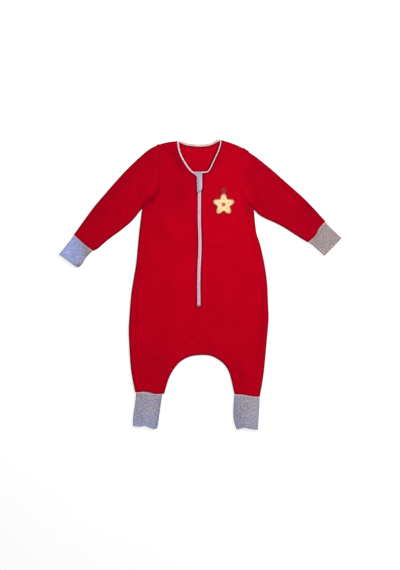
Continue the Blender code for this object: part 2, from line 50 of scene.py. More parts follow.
# The outlines, as the garment lies: the neck is towards +Y and the wearer's right at -X.
outlines = {
    "rightSide": [
        (-157.8, 205.3), (-165.0, 147.3), (-169.1, 106.0), (-174.0, 56.0),
        (-181.0, 13.6), (-187.4, -28.2), (-191.6, -80.0), (-194.0, -124.0),
        (-191.8, -176.7), (-188.4, -224.0), (-183.4, -257.0), (-176.6, -291.0),
    ],
    "leftSide": [
        (144.5, 201.6), (151.0, 142.0), (161.2, 109.0), (172.6, 58.0),
        (180.0, 8.0), (182.4, -38.0), (184.3, -90.0), (181.4, -130.0),
        (176.8, -182.0), (172.0, -232.0), (166.6, -269.0), (160.4, -303.4),
    ],
    "arch": [
        (-97.7, -295.0), (-90.4, -269.3), (-82.0, -246.6), (-69.7, -226.0),
        (-53.0, -207.6), (-28.0, -194.7), (0.0, -190.7), (26.0, -192.4),
        (44.2, -200.5), (60.8, -212.5), (73.2, -228.8), (81.4, -250.5), (91.4, -295.5),
    ],
    "rightSleeveTop": [
        (-112.1, 378.4), (-136.2, 366.9), (-160.0, 347.8), (-197.8, 311.8),
        (-232.2, 274.6), (-263.3, 238.7), (-289.6, 207.5), (-316.8, 170.1), (-342.4, 134.5),
    ],
    "rightSleeveUnder": [
        (-157.4, 205.3), (-171.5, 187.2), (-187.1, 169.4), (-203.0, 156.0),
        (-218.5, 143.5), (-238.0, 129.5), (-256.0, 115.5), (-274.5, 99.0), (-289.2, 90.6),
    ],
    "leftSleeveTop": [
        (114.2, 369.2), (135.5, 355.0), (155.6, 340.7), (192.8, 310.6),
        (222.0, 284.6), (252.7, 257.5), (283.0, 230.0), (310.6, 201.2), (338.0, 170.5),
    ],
    "leftSleeveUnder": [
        (144.5, 201.6), (157.4, 188.8), (173.7, 179.1), (193.0, 170.5),
        (213.4, 160.7), (232.4, 149.9), (251.2, 137.5), (270.3, 125.4), (290.3, 113.8),
    ],
    "rightArmhole": [
        (-112.1, 378.4), (-110.8, 322.8), (-114.5, 269.0), (-126.0, 237.5), (-157.4, 205.3),
    ],
    "leftArmhole": [
        (114.2, 369.2), (117.5, 322.8), (118.8, 242.0), (129.0, 219.5), (144.5, 201.6),
    ],
    "rightNeck": [
        (-61.3, 388.0), (-58.6, 367.3), (-52.7, 348.4), (-42.6, 329.5),
        (-31.9, 313.9), (-23.2, 304.6), (-14.9, 300.2), (-5.6, 299.5),
    ],
    "leftNeck": [
        (55.1, 391.0), (53.2, 376.0), (47.3, 358.7), (38.6, 339.8),
        (30.0, 321.0), (23.0, 308.3), (16.4, 303.6), (4.4, 303.2),
    ],
    "backNeck": [
        (-56.0, 386.0), (-38.9, 379.4), (-18.1, 376.2), (-1.0, 375.4),
        (19.7, 377.0), (35.1, 382.7), (50.0, 390.6),
    ],
    "rightTab": [
        (-17.8, 303.8), (-17.0, 298.0), (-10.4, 290.6), (-9.8, 276.0), (-9.2, 262.0), (-8.7, 246.0),
    ],
    "leftTab": [(5.0, 304.2), (4.7, 298.6), (4.4, 292.0), (4.3, 277.0), (4.2, 263.5), (2.8, 253.6)],
    "middle": [  # down the zip and the seam below it
        (-1.6, 310.0), (-2.5, 240.0), (-2.8, 184.0), (-2.2, 154.0), (-1.2, 122.0),
        (-1.2, 92.0), (-2.6, 64.0), (-3.8, 38.0), (-4.3, 6.0),
        (-4.1, -26.0), (-4.0, -63.0), (-5.5, -122.0), (0.0, -190.7),
    ],
}

lay = {
    "sideSeam": 2.6,  # height of the free edges, where front and back meet
    "seamGap": 0.3,
    "front": 6.0,
    "pillow": 1.7,  # how much further the front rises well inside its edges
    "pillowReach": 24.0,
    "frontRoll": 9.0,
    "backRoll": 3.0,
    "cloth": 1.6,  # thickness of the jersey
    "foldsFrom": 7.0,  # how far inside a free edge the folds are full
    "pressedOut": 0.35,  # of the back's waves, by what it lies on
    "backShare": 0.8,  # of the front's waves and dips, on the back
    "step": 3.6,  # spacing of the mesh
}
nearEdge = np.array([0.0, 0.35, 0.8, 1.4, 2.2, 3.2, 4.6, 6.6, 9.4])  # rows beside an edge
waves = {  # soft unevenness of the cloth: size, seed and height
    "broad": (74.0, 1.5, 0.5),
    "middling": (31.0, 4.5, 0.16),
    "fine": (12.0, 6.5, 0.06),
    "cuffBroad": (26.0, 2.2, 0.7),
    "cuffFine": (11.0, 9.2, 0.25),
}


def smoothLine(points, step=2.0):
    points = np.array(points, dtype=float)
    ends = np.vstack([2 * points[0] - points[1], points, 2 * points[-1] - points[-2]])
    line = []
    for a, b, c, d in zip(ends, ends[1:], ends[2:], ends[3:]):
        count = max(2, int(np.linalg.norm(c - b) / step))
        t = np.arange(count)[:, None] / count
        square = 2 * a - 5 * b + 4 * c - d
        cube = 3 * b - a - 3 * c + d
        line.append(0.5 * (2 * b + (c - a) * t + square * t**2 + cube * t**3))
    return np.vstack([*line, points[-1:]])


def runLengths(line):
    steps = np.linalg.norm(np.diff(line, axis=0), axis=1)
    return np.concatenate([[0.0], np.cumsum(steps)])


def atShares(line, shares):
    along = runLengths(line)
    places = np.asarray(shares) * along[-1]
    return np.stack([np.interp(places, along, column) for column in line.T], axis=1)


def normals(line):  # to the left of each point of a line in plan
    run = np.gradient(line, axis=0)
    run /= np.linalg.norm(run, axis=1)[:, None]
    return np.stack([-run[:, 1], run[:, 0]], axis=1)


def outwards(loop):  # at each point of a closed line in plan or in section
    run = np.roll(loop, -1, axis=0) - np.roll(loop, 1, axis=0)
    run /= np.linalg.norm(run, axis=1)[:, None]
    return np.stack([run[:, 1], -run[:, 0]], axis=1)


def ladder(length, step, first=True, last=True):  # shares of a length, close at its ends
    start = nearEdge if first else nearEdge[:1]
    end = nearEdge if last else nearEdge[:1]
    between = length - start[-1] - end[-1]
    count = max(2, int(between / step))
    even = start[-1] + np.linspace(0.0, between, count + 1)[1:-1]
    return np.concatenate([start, even, length - end[::-1]]) / length


def nearestOn(points, line):
    # the distance to a line, the length along it and whether the point is on its left
    start = line[:-1]
    run = line[1:] - start
    long = np.linalg.norm(run, axis=1)
    along = runLengths(line)
    found = []
    for some in np.array_split(points, len(points) // 1500 + 1):
        offset = some[:, None, :] - start
        share = np.clip((offset * run).sum(axis=2) / long**2, 0.0, 1.0)
        away = offset - run * share[:, :, None]
        gap = np.linalg.norm(away, axis=2)
        index = gap.argmin(axis=1)
        row = np.arange(len(some))
        cross = run[index, 0] * offset[row, index, 1] - run[index, 1] * offset[row, index, 0]
        place = along[index] + share[row, index] * long[index]
        found.append(np.stack([gap[row, index], place, np.sign(cross)], axis=1))
    return np.vstack(found).T


def wander(points, size, seed):  # a soft noise from -1 to 1 over the plan
    return np.array([noise.noise((x / size, y / size, seed)) for x, y in points]) * 1.6


def wanderAlong(along, size, seed):  # the same along a line
    return wander(np.stack([along, along * 0.0], axis=1), size, seed)


def waveAt(points, name):
    size, seed, height = waves[name]
    return wander(points, size, seed) * height


def circle(count):  # even turns round a circle, and the direction at each
    turns = np.arange(count) / count * 2 * math.pi
    return turns, np.stack([np.cos(turns), np.sin(turns)], axis=1)


lines = {name: smoothLine(points) for name, points in outlines.items()}
crotch = int(np.linalg.norm(lines["arch"] - outlines["middle"][-1], axis=1).argmin())
lines["rightArch"] = lines["arch"][crotch::-1]
lines["leftArch"] = lines["arch"][crotch:]


def middleAt(levels):
    line = lines["middle"][::-1]
    return np.interp(levels, line[:, 1], line[:, 0])


neck = {
    "width": 4.9,  # of the folded binding
    "backWidth": 6.2,
    "tuck": 1.9,  # how far the jersey's edge goes in between its layers
    "wall": 0.75,  # thickness of one layer
    "backLift": 0.85,  # the back's edge lies on the layer below it
    "liftReach": 5.0,
    "rise": 0.9,  # of its top over the jersey
    "fall": 2.5,  # of its underside below the jersey's top
    "lowest": 5.25,  # where it passes over the shoulder
    "roll": 1.7,  # of its fold beside the neck
    "stitchInset": 1.4,
    "stitchPitch": 3.0,
    "stitchSink": 0.06,
    "pull": (0.16, 0.7),  # how deep the stitches draw it in, and how far across
    "step": 1.4,
}
neckReach = neck["width"] / 2 - neck["tuck"]
for side, out in sides.items():
    line = lines[side + "Neck"]
    lines[side + "NeckEdge"] = line + normals(line) * out * neckReach

zipFit = {
    "window": 8.1,  # width of what shows between the fronts
    "top": 300.0,
    "end": -60.4,
    "round": 5.0,  # length of the window's rounded end
    "tapeTop": 5.6,
    "tapeThickness": 0.7,
}


def zipEdge(out):  # from the neck down one side of the zip's window to its rounded end
    levels = np.linspace(zipFit["top"], zipFit["end"] + zipFit["round"], 120)
    half = zipFit["window"] / 2
    line = [(x + out * half, y) for x, y in zip(middleAt(levels), levels)]
    for turn in np.linspace(0.0, math.pi / 2, 12)[1:]:
        y = zipFit["end"] + zipFit["round"] * (1.0 - math.sin(turn))
        across = max(half * math.cos(turn), lay["seamGap"] / 2)
        line.append((float(middleAt(y)) + out * across, y))
    return np.array(line)


def middleSeam(out):
    levels = np.linspace(zipFit["end"], outlines["middle"][-1][1], 60)
    return np.stack([middleAt(levels) + out * lay["seamGap"] / 2, levels], axis=1)


# How far each hem bows towards its cuff, at even shares of its width from the outer side.
hemBows = {
    "rightWrist": [0.0, 0.3, 0.2, 0.6, 0.9, 0.5, 0.0],
    "leftWrist": [0.0, -1.2, -1.6, -0.3, 2.6, 3.2, 1.6, 0.0],
    "rightAnkle": [0.0, -1.0, -2.6, -3.0, -1.6, 0.6, 1.6, 0.7, 0.0],
    "leftAnkle": [0.0, 0.5, 0.6, -0.4, -1.4, -1.0, 0.2, 0.0],
    "rightShoulder": [0.0, 1.3, 1.7, 1.0, 0.0],
    "leftShoulder": [0.0, 1.3, 1.7, 1.0, 0.0],
}
bow = {
    "reach": 26.0,  # how far from the hem the cloth follows it
    "farthest": 90.0,
    "past": 0.2,  # beyond the hem's ends, as a share of its width
}


def hemLine(name, first, second):
    shares = np.linspace(0.0, 1.0, 40)
    return first + (second - first) * shares[:, None] + hemShift(name, first, second, shares)


def hemShift(name, first, second, shares):
    # along the limb, away from the body
    across = (second - first) / np.linalg.norm(second - first)
    ahead = np.array([across[1], -across[0]])
    if name in ("leftWrist", "leftAnkle", "rightShoulder"):
        ahead = -ahead
    even = np.linspace(0.0, 1.0, len(hemBows[name]))
    curve = smoothLine(np.column_stack([even, hemBows[name]]), 0.02)
    return ahead * np.interp(shares, curve[:, 0], curve[:, 1])[:, None]


def hemEnds(side):  # each hem's name and its two ends
    return {
        "Wrist": (lines[side + "SleeveTop"][-1], lines[side + "SleeveUnder"][-1]),
        "Ankle": (lines[side + "Side"][-1], lines[side + "Arch"][-1]),
        "Shoulder": (lines[side + "SleeveTop"][0], lines[side + "NeckEdge"][0]),
    }


def followHems(points):
    # plan points moved so that the rows beside each hem bow with it
    moved = points.copy()
    for side in sides:
        for hem, (first, second) in hemEnds(side).items():
            width = np.linalg.norm(second - first)
            across = (second - first) / width
            shares = (points - first) @ across / width
            gap = np.abs((points - first) @ np.array([across[1], -across[0]]))
            beside = (gap < bow["farthest"]) & (np.abs(shares - 0.5) < 0.5 + bow["past"])
            shift = hemShift(side + hem, first, second, np.clip(shares, 0.0, 1.0))
            moved += shift * (np.exp(-gap / bow["reach"]) * beside)[:, None]
    return moved


for side, out in sides.items():
    lines[side + "Zip"] = zipEdge(out)
    lines[side + "Middle"] = middleSeam(out)
    for hem, (first, second) in hemEnds(side).items():
        lines[side + hem] = hemLine(side + hem, first, second)

# Every free edge has the cloth on its left.
freeEdges = [
    np.vstack([lines["rightShoulder"][::-1], lines["rightSleeveTop"][1:]]),
    np.vstack([lines["rightSleeveUnder"][::-1], lines["rightSide"][1:]]),
    lines["arch"],
    np.vstack([lines["leftSide"][::-1], lines["leftSleeveUnder"][1:]]),
    np.vstack([lines["leftSleeveTop"][:0:-1], lines["leftShoulder"]]),
]

# Seams draw the cloth in: each has its dip, and puckers that die away from it.
seamKinds = {
    "Armhole": {"dip": 0.4, "reach": 2.2, "pucker": 0.14, "pitch": 17.0, "spread": 10.0},
    "Wrist": {"dip": 0.9, "reach": 2.4, "pucker": 0.75, "pitch": 9.0, "spread": 11.0},
    "Ankle": {"dip": 0.9, "reach": 2.4, "pucker": 0.65, "pitch": 11.0, "spread": 12.0},
    "Zip": {"dip": 0.5, "reach": 1.8, "pucker": 0.22, "pitch": 19.0, "spread": 12.0},
    "Middle": {"dip": 0.35, "reach": 1.4, "pucker": 0.16, "pitch": 15.0, "spread": 10.0},
    "Neck": {"dip": 0.2, "reach": 5.0, "pucker": 0.15, "pitch": 14.0, "spread": 9.0},
    "Side": {"dip": 0.0, "reach": 1.0, "pucker": 0.45, "pitch": 21.0, "spread": 16.0},
    "SleeveUnder": {"dip": 0.0, "reach": 1.0, "pucker": 0.40, "pitch": 16.0, "spread": 12.0},
    "Arch": {"dip": 0.0, "reach": 1.0, "pucker": 0.45, "pitch": 14.0, "spread": 12.0},
}
backSeams = ("Armhole", "Wrist", "Ankle", "Side", "SleeveUnder", "Arch")
puckers = {
    "driftSize": 60.0,  # over which their pitch changes
    "drift": 5.0,
    "unevenSize": 33.0,  # over which their height changes
    "uneven": 0.45,
    "seamFlat": 2.5,  # width beside the seam that stays flat
}

# Each fold's line, its width to the left and right of that line, and its height.
frontFolds = [
    # right armpit: a bright ridge over a deep crease that curls up along the armhole
    ([(-157, 209), (-153, 220), (-145, 227), (-133, 232), (-121, 242), (-116, 258), (-115, 278)], 6, 6, -2.8),
    ([(-147, 222), (-137, 227), (-126, 233)], 5, 5, -1.1),
    ([(-170, 230), (-158, 243), (-143, 254), (-132, 268), (-127, 290)], 10, 8, 2.2),
    ([(-150, 205), (-134, 220), (-114, 234)], 7, 7, 1.0),
    ([(-152, 306), (-164, 286), (-171, 262), (-175, 234)], 5, 6, -1.0),
    ([(-142, 335), (-129, 329), (-118, 331)], 5, 5, -0.7),
    ([(-186, 262), (-196, 240), (-206, 214)], 8, 8, 0.8),
    # right sleeve: its long side leans away from the light, and short folds at its middle
    ([(-158, 334), (-208, 280), (-256, 224), (-304, 164)], 15, 20, 1.8),
    ([(-166, 336), (-212, 289), (-266, 228), (-308, 172)], 8, 7, -1.4),
    ([(-214, 208), (-224, 192), (-232, 174)], 8, 9, -1.5),
    ([(-181, 201), (-189, 190), (-194, 176)], 5, 5, 1.9),
    ([(-184, 212), (-196, 204), (-206, 190)], 4, 4, -0.8),
    ([(-236, 196), (-254, 176), (-268, 156)], 9, 8, 1.1),
    ([(-262, 190), (-286, 160), (-306, 138)], 7, 7, -1.2),
    ([(-286, 176), (-304, 152), (-322, 132)], 6, 7, 1.1),
    ([(-256, 148), (-268, 132), (-280, 118)], 6, 6, 1.2),
    ([(-270, 158), (-284, 138), (-294, 124)], 4, 5, -1.1),
    # right shoulder: a drag from the neck to the sleeve
    ([(-110, 376), (-92, 365), (-77, 353), (-62, 340), (-53, 329)], 5, 6, -0.6),
    # left armpit and chest
    ([(118, 262), (124, 246), (132, 230), (141, 219)], 9, 7, 1.5),
    ([(123, 217), (132, 211), (143, 206), (156, 195)], 4, 5, -2.0),
    ([(132, 210), (136, 202), (138, 192)], 5, 5, -1.0),
    ([(147, 244), (149, 234), (148, 224)], 4, 4, -1.4),
    ([(98, 262), (106, 240), (112, 216)], 5, 5, -0.7),
    ([(84, 250), (98, 246), (114, 250)], 5, 5, -0.7),
    ([(96, 214), (104, 196), (112, 172)], 7, 7, 0.7),
    ([(110, 216), (122, 192), (128, 164)], 6, 8, -0.5),
    # left sleeve: almost smooth
    ([(164, 296), (212, 256), (264, 208)], 20, 18, 0.7),
    ([(232, 254), (244, 242), (252, 228)], 7, 7, -0.8),
    ([(206, 268), (214, 258), (224, 250)], 6, 6, 0.7),
    ([(196, 216), (228, 196), (262, 172)], 12, 12, -0.5),
    ([(262, 216), (284, 192), (304, 166)], 8, 9, 0.6),
    ([(250, 184), (272, 168), (296, 142)], 7, 7, -0.7),
    ([(290, 200), (306, 184), (322, 172)], 6, 6, 0.6),
    # chest, zip and belly
    ([(-70, 236), (-44, 235), (-16, 237)], 4, 4, 0.5),
    ([(-74, 226), (-46, 224), (-18, 226)], 5, 5, -0.5),
    ([(-92, 166), (-88, 130), (-92, 84)], 9, 10, -0.4),
    ([(-124, -2), (-118, -22), (-124, -46)], 13, 11, -0.5),
    ([(-44, 66), (-28, 50), (-16, 34)], 12, 10, 0.8),
    ([(10, 58), (15, 30), (12, 0)], 9, 9, 0.5),
    ([(14, 114), (44, 112), (74, 116)], 9, 5, 0.7),
    ([(100, 96), (118, 92), (136, 98)], 10, 8, -0.3),
    ([(-150, 160), (-140, 110), (-142, 60)], 12, 14, 0.6),
    ([(120, 120), (128, 70), (126, 20)], 14, 13, 0.5),
    # below the zip
    ([(6, -62), (24, -61), (48, -66), (68, -76)], 6, 5, 0.3),
    ([(6, -70), (28, -75), (46, -80), (66, -85)], 5, 5, -0.9),
    ([(-6, -70), (-18, -74), (-30, -74)], 4, 5, -0.6),
    ([(-14, -64), (-30, -62), (-50, -66)], 7, 6, 0.6),
    ([(-3, -84), (-8, -120), (-6, -174)], 3, 3, 0.8),
    ([(-30, -142), (-22, -153), (-16, -166)], 6, 5, -1.0),
    ([(12, -152), (14, -163), (18, -176)], 5, 4, -1.0),
    ([(22, -146), (26, -158), (34, -172)], 5, 5, 0.8),
    ([(-54, -136), (-46, -146), (-42, -160)], 6, 6, 0.8),
    ([(66, -118), (88, -120), (113, -122)], 3, 4, -0.7),
    # legs
    ([(-164, 20), (-168, -60), (-167, -150)], 5, 5, 0.9),
    ([(-174, 24), (-178, -40), (-178, -100)], 4, 4, -0.9),
    ([(154, 10), (157, -50), (154, -120)], 6, 6, 1.1),
    ([(163, 2), (165, -24), (163, -50)], 4, 4, -1.1),
    ([(154, -130), (154, -190), (148, -246)], 7, 7, 0.6),
    ([(-112, -184), (-106, -200), (-112, -216)], 10, 9, 0.7),
    ([(101, -220), (105, -238), (110, -258)], 5, 4, -0.6),
    ([(112, -206), (120, -234), (122, -264)], 8, 8, 0.8),
    ([(-104, -226), (-110, -246), (-112, -272)], 6, 6, -0.9),
    ([(-128, -214), (-134, -250), (-134, -284)], 11, 9, 0.6),
    ([(-160, -232), (-162, -256), (-158, -284)], 7, 7, -0.6),
]

# Painted shade in the red, and with a minus painted light, for where light falls off, where creases lie in
# shade and partly where the nap lies another way: its line, both widths and how much.
frontShadeAndLight = [
    ([(-62, 362), (-62, 270), (-62, 180)], 42, 40, 0.15),
    ([(-112, 262), (-112, 190), (-104, 110)], 24, 24, 0.09),
    ([(-140, 356), (-208, 279), (-236, 243), (-268, 204), (-296, 169), (-336, 120)], 15, 13, 0.11),
    ([(-216, 212), (-231, 186), (-244, 160)], 13, 13, 0.08),
    ([(-178, 214), (-196, 196), (-214, 178)], 10, 10, -0.08),
    ([(-252, 146), (-284, 124), (-310, 108)], 22, 18, 0.06),
    ([(-163, 202), (-157, 215), (-149, 224), (-138, 229), (-127, 233), (-118, 244), (-114, 264)], 7, 7, 0.30),
    ([(-166, 200), (-158, 214), (-152, 226)], 5, 5, 0.20),
    ([(-140, 222), (-129, 226), (-120, 234)], 6, 7, 0.14),
    ([(-117, 256), (-112, 284), (-110, 324)], 4, 4, 0.12),
    ([(-124, 350), (-121, 300), (-132, 262)], 9, 9, 0.12),
    ([(-160, 350), (-112, 366), (-60, 392)], 22, 26, 0.21),
    ([(-111, 374), (-86, 356), (-66, 338), (-53, 320)], 7, 7, 0.16),
    ([(-72, 392), (-66, 360), (-56, 330), (-34, 306), (-8, 292)], 9, 13, 0.22),
    ([(40, 402), (104, 372), (170, 328), (230, 280), (300, 212), (356, 156)], 18, 18, 0.22),
    ([(40, 402), (82, 380), (140, 348)], 14, 14, 0.12),
    ([(270, 236), (310, 192), (350, 150)], 20, 26, 0.16),
    ([(62, 400), (60, 372), (50, 346), (34, 312), (2, 294)], 12, 8, 0.22),
    ([(112, 372), (110, 320), (114, 262)], 13, 13, 0.08),
    ([(122, 219), (133, 211), (146, 204)], 4, 4, 0.10),
    ([(125, 210), (131, 198), (139, 188)], 7, 7, 0.12),
    ([(146, 246), (147, 233), (146, 222)], 6, 6, 0.08),
    ([(150, 262), (190, 226), (224, 206)], 16, 16, -0.05),
    ([(116, 266), (124, 252), (130, 240)], 7, 7, -0.06),
    ([(-132, -150), (-128, -220), (-120, -300)], 30, 30, 0.15),
    ([(-96, -190), (-96, -240), (-104, -300)], 9, 9, 0.10),
    ([(98, -190), (108, -245), (112, -310)], 20, 14, 0.13),
    ([(168, 80), (172, -40), (168, -160), (156, -300)], 18, 18, 0.18),
    ([(132, 210), (150, 160), (164, 90)], 13, 11, 0.17),
    ([(-50, 120), (-46, 40), (-40, -60), (-30, -190)], 30, 26, -0.08),
    ([(38, 210), (44, 130), (50, 50), (30, -30)], 30, 28, -0.07),
    ([(-34, 84), (-30, 50), (-28, 20)], 12, 12, -0.04),
    ([(12, 250), (10, 120), (10, 30), (10, -20)], 8, 9, -0.12),
    ([(-15, 296), (-15, 200), (-15, 60), (-17, -60)], 5, 5, 0.08),
    ([(-3, -64), (-6, -122), (0, -188)], 4, 4, -0.07),
    ([(-112, 350), (-106, 334), (-104, 312)], 12, 12, 0.11),
    ([(-154, 244), (-141, 258), (-131, 270)], 7, 8, -0.11),
    ([(-174, 262), (-169, 243), (-160, 226)], 7, 7, 0.06),
    ([(8, 54), (12, 16), (12, -12)], 8, 9, -0.08),
    ([(260, 182), (274, 157), (292, 136)], 10, 10, 0.06),
    ([(14, 294), (14, 274), (12, 254)], 6, 6, 0.07),
    ([(94, -286), (128, -290), (162, -292)], 10, 10, 0.06),
    ([(128, -104), (133, -140), (126, -182)], 18, 18, 0.04),
    ([(150, 164), (162, 112), (173, 56), (181, 0), (184, -50)], 4, 4, 0.08),
    ([(18, -190), (46, -199), (66, -215), (79, -240)], 5, 5, -0.08),
    ([(-84, -232), (-93, -264), (-98, -298)], 5, 5, 0.08),
    ([(226, 282), (275, 238), (332, 176)], 5, 5, 0.06),
    ([(-300, 104), (-286, 95), (-274, 102)], 6, 6, 0.06),
    ([(-128, 236), (-122, 254), (-119, 276)], 5, 5, 0.07),
    ([(-152, 144), (-142, 104), (-138, 66)], 18, 18, 0.04),
]

# The same kind of creases on the side that it lies on, pressed up from the surface.
backFolds = [
    ([(-108, 300), (-126, 268), (-150, 236), (-158, 214)], 8, 6, 1.5),
    ([(-170, 300), (-212, 250), (-262, 196), (-304, 150)], 9, 8, 1.3),
    ([(-190, 226), (-206, 200), (-222, 172)], 6, 7, 1.4),
    ([(-240, 190), (-262, 160), (-286, 130)], 6, 6, 1.2),
    ([(110, 290), (120, 256), (136, 222)], 7, 7, 1.5),
    ([(160, 300), (214, 254), (270, 204), (316, 164)], 9, 9, 1.1),
    ([(168, 226), (206, 202), (246, 172)], 7, 6, 1.3),
    ([(254, 204), (278, 176), (300, 144)], 6, 6, 1.0),
    ([(-64, 356), (-84, 330), (-96, 296)], 9, 8, 1.0),
    ([(60, 352), (82, 322), (94, 288)], 8, 9, 1.1),
    ([(-52, 304), (-8, 292), (46, 300)], 9, 7, 1.2),
    ([(-104, 212), (-60, 202), (-8, 208)], 8, 7, 1.2),
    ([(18, 178), (60, 172), (112, 182)], 7, 9, 1.1),
    ([(-82, 140), (-90, 84), (-80, 18)], 11, 9, 1.2),
    ([(58, 120), (70, 62), (60, -8)], 9, 11, 1.3),
    ([(-14, 96), (-8, 30), (-18, -50)], 12, 10, 1.0),
    ([(-132, 60), (-140, -10), (-134, -92)], 9, 9, 1.2),
    ([(126, 44), (136, -30), (128, -112)], 9, 8, 1.1),
    ([(-44, -60), (-8, -72), (38, -66)], 7, 7, 1.3),
    ([(-60, -96), (-30, -130), (-14, -172)], 8, 7, 1.5),
    ([(56, -92), (30, -134), (16, -174)], 7, 8, 1.5),
    ([(-112, -140), (-106, -190), (-116, -240)], 9, 8, 1.4),
    ([(108, -146), (102, -196), (112, -246)], 9, 9, 1.3),
    ([(-150, -176), (-156, -224), (-150, -276)], 8, 7, 1.2),
    ([(146, -170), (148, -226), (138, -284)], 7, 8, 1.2),
    ([(-126, -250), (-128, -272), (-124, -290)], 6, 6, 1.1),
]
foldDrift = {"size": 46.0, "swing": 3.0, "seeds": (3.1, 8.7)}  # no fold runs quite true


def foldsAt(points, folds):
    drift = [wander(points, foldDrift["size"], seed) for seed in foldDrift["seeds"]]
    bent = points + np.stack(drift, axis=1) * foldDrift["swing"]
    height = np.zeros(len(points))
    for path, left, right, rise in folds:
        line = smoothLine(path, 6.0)
        gap, along, hand = nearestOn(bent, line)
        width = np.where(hand > 0, left, right)
        share = along / runLengths(line)[-1]
        height += rise * np.exp(-(gap / width) ** 2) * np.sin(np.pi * share) ** 0.7
    return height


def seamsAt(points, kinds):
    dip = np.zeros(len(points))
    pucker = np.zeros(len(points))
    for number, (name, kind) in enumerate(kinds.items()):
        for turn, side in enumerate(sides):
            gap, along, _ = nearestOn(points, lines[side + name])
            inside = np.clip(1.0 - gap / kind["reach"], 0.0, 1.0)
            dip = np.maximum(dip, kind["dip"] * (1.0 - np.sqrt(1.0 - inside**2)))
            seed = 5.0 * number + turn
            drift = wanderAlong(along, puckers["driftSize"], seed)
            wave = np.sin(2 * np.pi * along / kind["pitch"] + puckers["drift"] * drift)
            uneven = puckers["uneven"] * wanderAlong(along, puckers["unevenSize"], seed + 2.5)
            uneven = 1.0 - puckers["uneven"] + uneven
            fade = np.exp(-gap / kind["spread"]) * (1.0 - np.exp(-gap / puckers["seamFlat"]))
            pucker += kind["pucker"] * wave * uneven * fade
    return dip, pucker


def freeDistance(points):
    # the distance to the nearest free edge, and the direction away from it
    best = np.full(len(points), 1e9)
    away = np.zeros((len(points), 2))
    for edge in freeEdges:
        start, run = edge[:-1], np.diff(edge, axis=0)
        left = np.stack([-run[:, 1], run[:, 0]], axis=1)
        left /= np.linalg.norm(left, axis=1)[:, None]
        for some in np.array_split(np.arange(len(points)), len(points) // 1500 + 1):
            offset = points[some][:, None, :] - start
            share = np.clip((offset * run).sum(axis=2) / (run**2).sum(axis=1), 0.0, 1.0)
            step = offset - run * share[:, :, None]
            gap = np.linalg.norm(step, axis=2)
            index = gap.argmin(axis=1)
            row = np.arange(len(some))
            near = gap[row, index]
            unit = step[row, index] / np.maximum(near, 1e-9)[:, None]
            unit[near < 0.05] = left[index[near < 0.05]]
            closer = near < best[some]
            best[some] = np.where(closer, near, best[some])
            away[some] = np.where(closer[:, None], unit, away[some])
    return best, away


def pillowAt(distance):  # how much further the front rises this far from its free edges
    return lay["pillow"] * (1.0 - np.exp(-(distance / lay["pillowReach"]) ** 2))


def clothPoints(points, front=True):
    # outer and inner points of the cloth's wall over these points of the plan
    distance, away = freeDistance(points)
    kinds = seamKinds if front else {name: seamKinds[name] for name in backSeams}
    dip, pucker = seamsAt(points, kinds)
    inside = 1.0 - np.exp(-(distance / lay["foldsFrom"]) ** 2)
    soft = waveAt(points, "broad") + waveAt(points, "middling")
    folds = foldsAt(points, frontFolds if front else backFolds)
    if front:
        uneven = folds + soft + waveAt(points, "fine")
        flat = lay["front"] + pillowAt(distance) + uneven * inside + pucker
        edge = lay["sideSeam"] + lay["seamGap"] / 2
        roll, sign = lay["frontRoll"], 1.0
    else:
        uneven = folds + (soft + pucker) * lay["backShare"] - lay["pressedOut"]
        flat = np.maximum(uneven, 0.0) * inside
        gap = nearestOn(points, lines["backNeck"])[0]
        flat += neck["backLift"] * np.exp(-(gap / neck["liftReach"]) ** 2)
        edge = lay["sideSeam"] - lay["seamGap"] / 2
        roll, sign = lay["backRoll"], -1.0
        dip = dip * lay["backShare"]
    lean = np.clip(1.0 - distance / roll, 0.0, 1.0)
    rise = np.sqrt(1.0 - lean**2)
    outer = edge + (flat - edge) * rise - sign * dip * rise
    inner = edge + (flat - sign * lay["cloth"] - edge) * rise
    shifted = points + away * (lay["cloth"] * lean)[:, None]
    return np.column_stack([points, outer]), np.column_stack([shifted, inner])


def topOf(points):  # height of the front's upper side
    points = np.atleast_2d(np.array(points, dtype=float))
    return clothPoints(points)[0][:, 2]


def wallMesh(name, grids, turn=0.0):
    # one closed wall from grids of outer and inner points, welded where they meet
    index = {}
    outerPoints, innerPoints, quads = [], [], []
    for outer, inner in grids:
        numbers = np.empty(outer.shape[:2], dtype=int)
        for r, c in np.ndindex(numbers.shape):
            key = tuple(np.round(outer[r, c], 3))
            if key not in index:
                index[key] = len(outerPoints)
                outerPoints.append(outer[r, c])
                innerPoints.append(inner[r, c])
            numbers[r, c] = index[key]
        corners = numbers[:-1, :-1], numbers[:-1, 1:], numbers[1:, 1:], numbers[1:, :-1]
        quads.append(np.stack([corner.ravel() for corner in corners], axis=1))
    quads = np.vstack(quads)
    count = len(outerPoints)
    edges = np.sort(np.stack([quads, np.roll(quads, -1, axis=1)], axis=2).reshape(-1, 2), axis=1)
    pairs, uses = np.unique(edges, axis=0, return_counts=True)
    rim = pairs[uses == 1]
    faces = quads.tolist() + (quads[:, ::-1] + count).tolist()
    faces += [(b, a, count + a, count + b) for a, b in rim.tolist()]
    points = np.array(outerPoints + innerPoints)
    return addPiece(name, points, faces, turn)


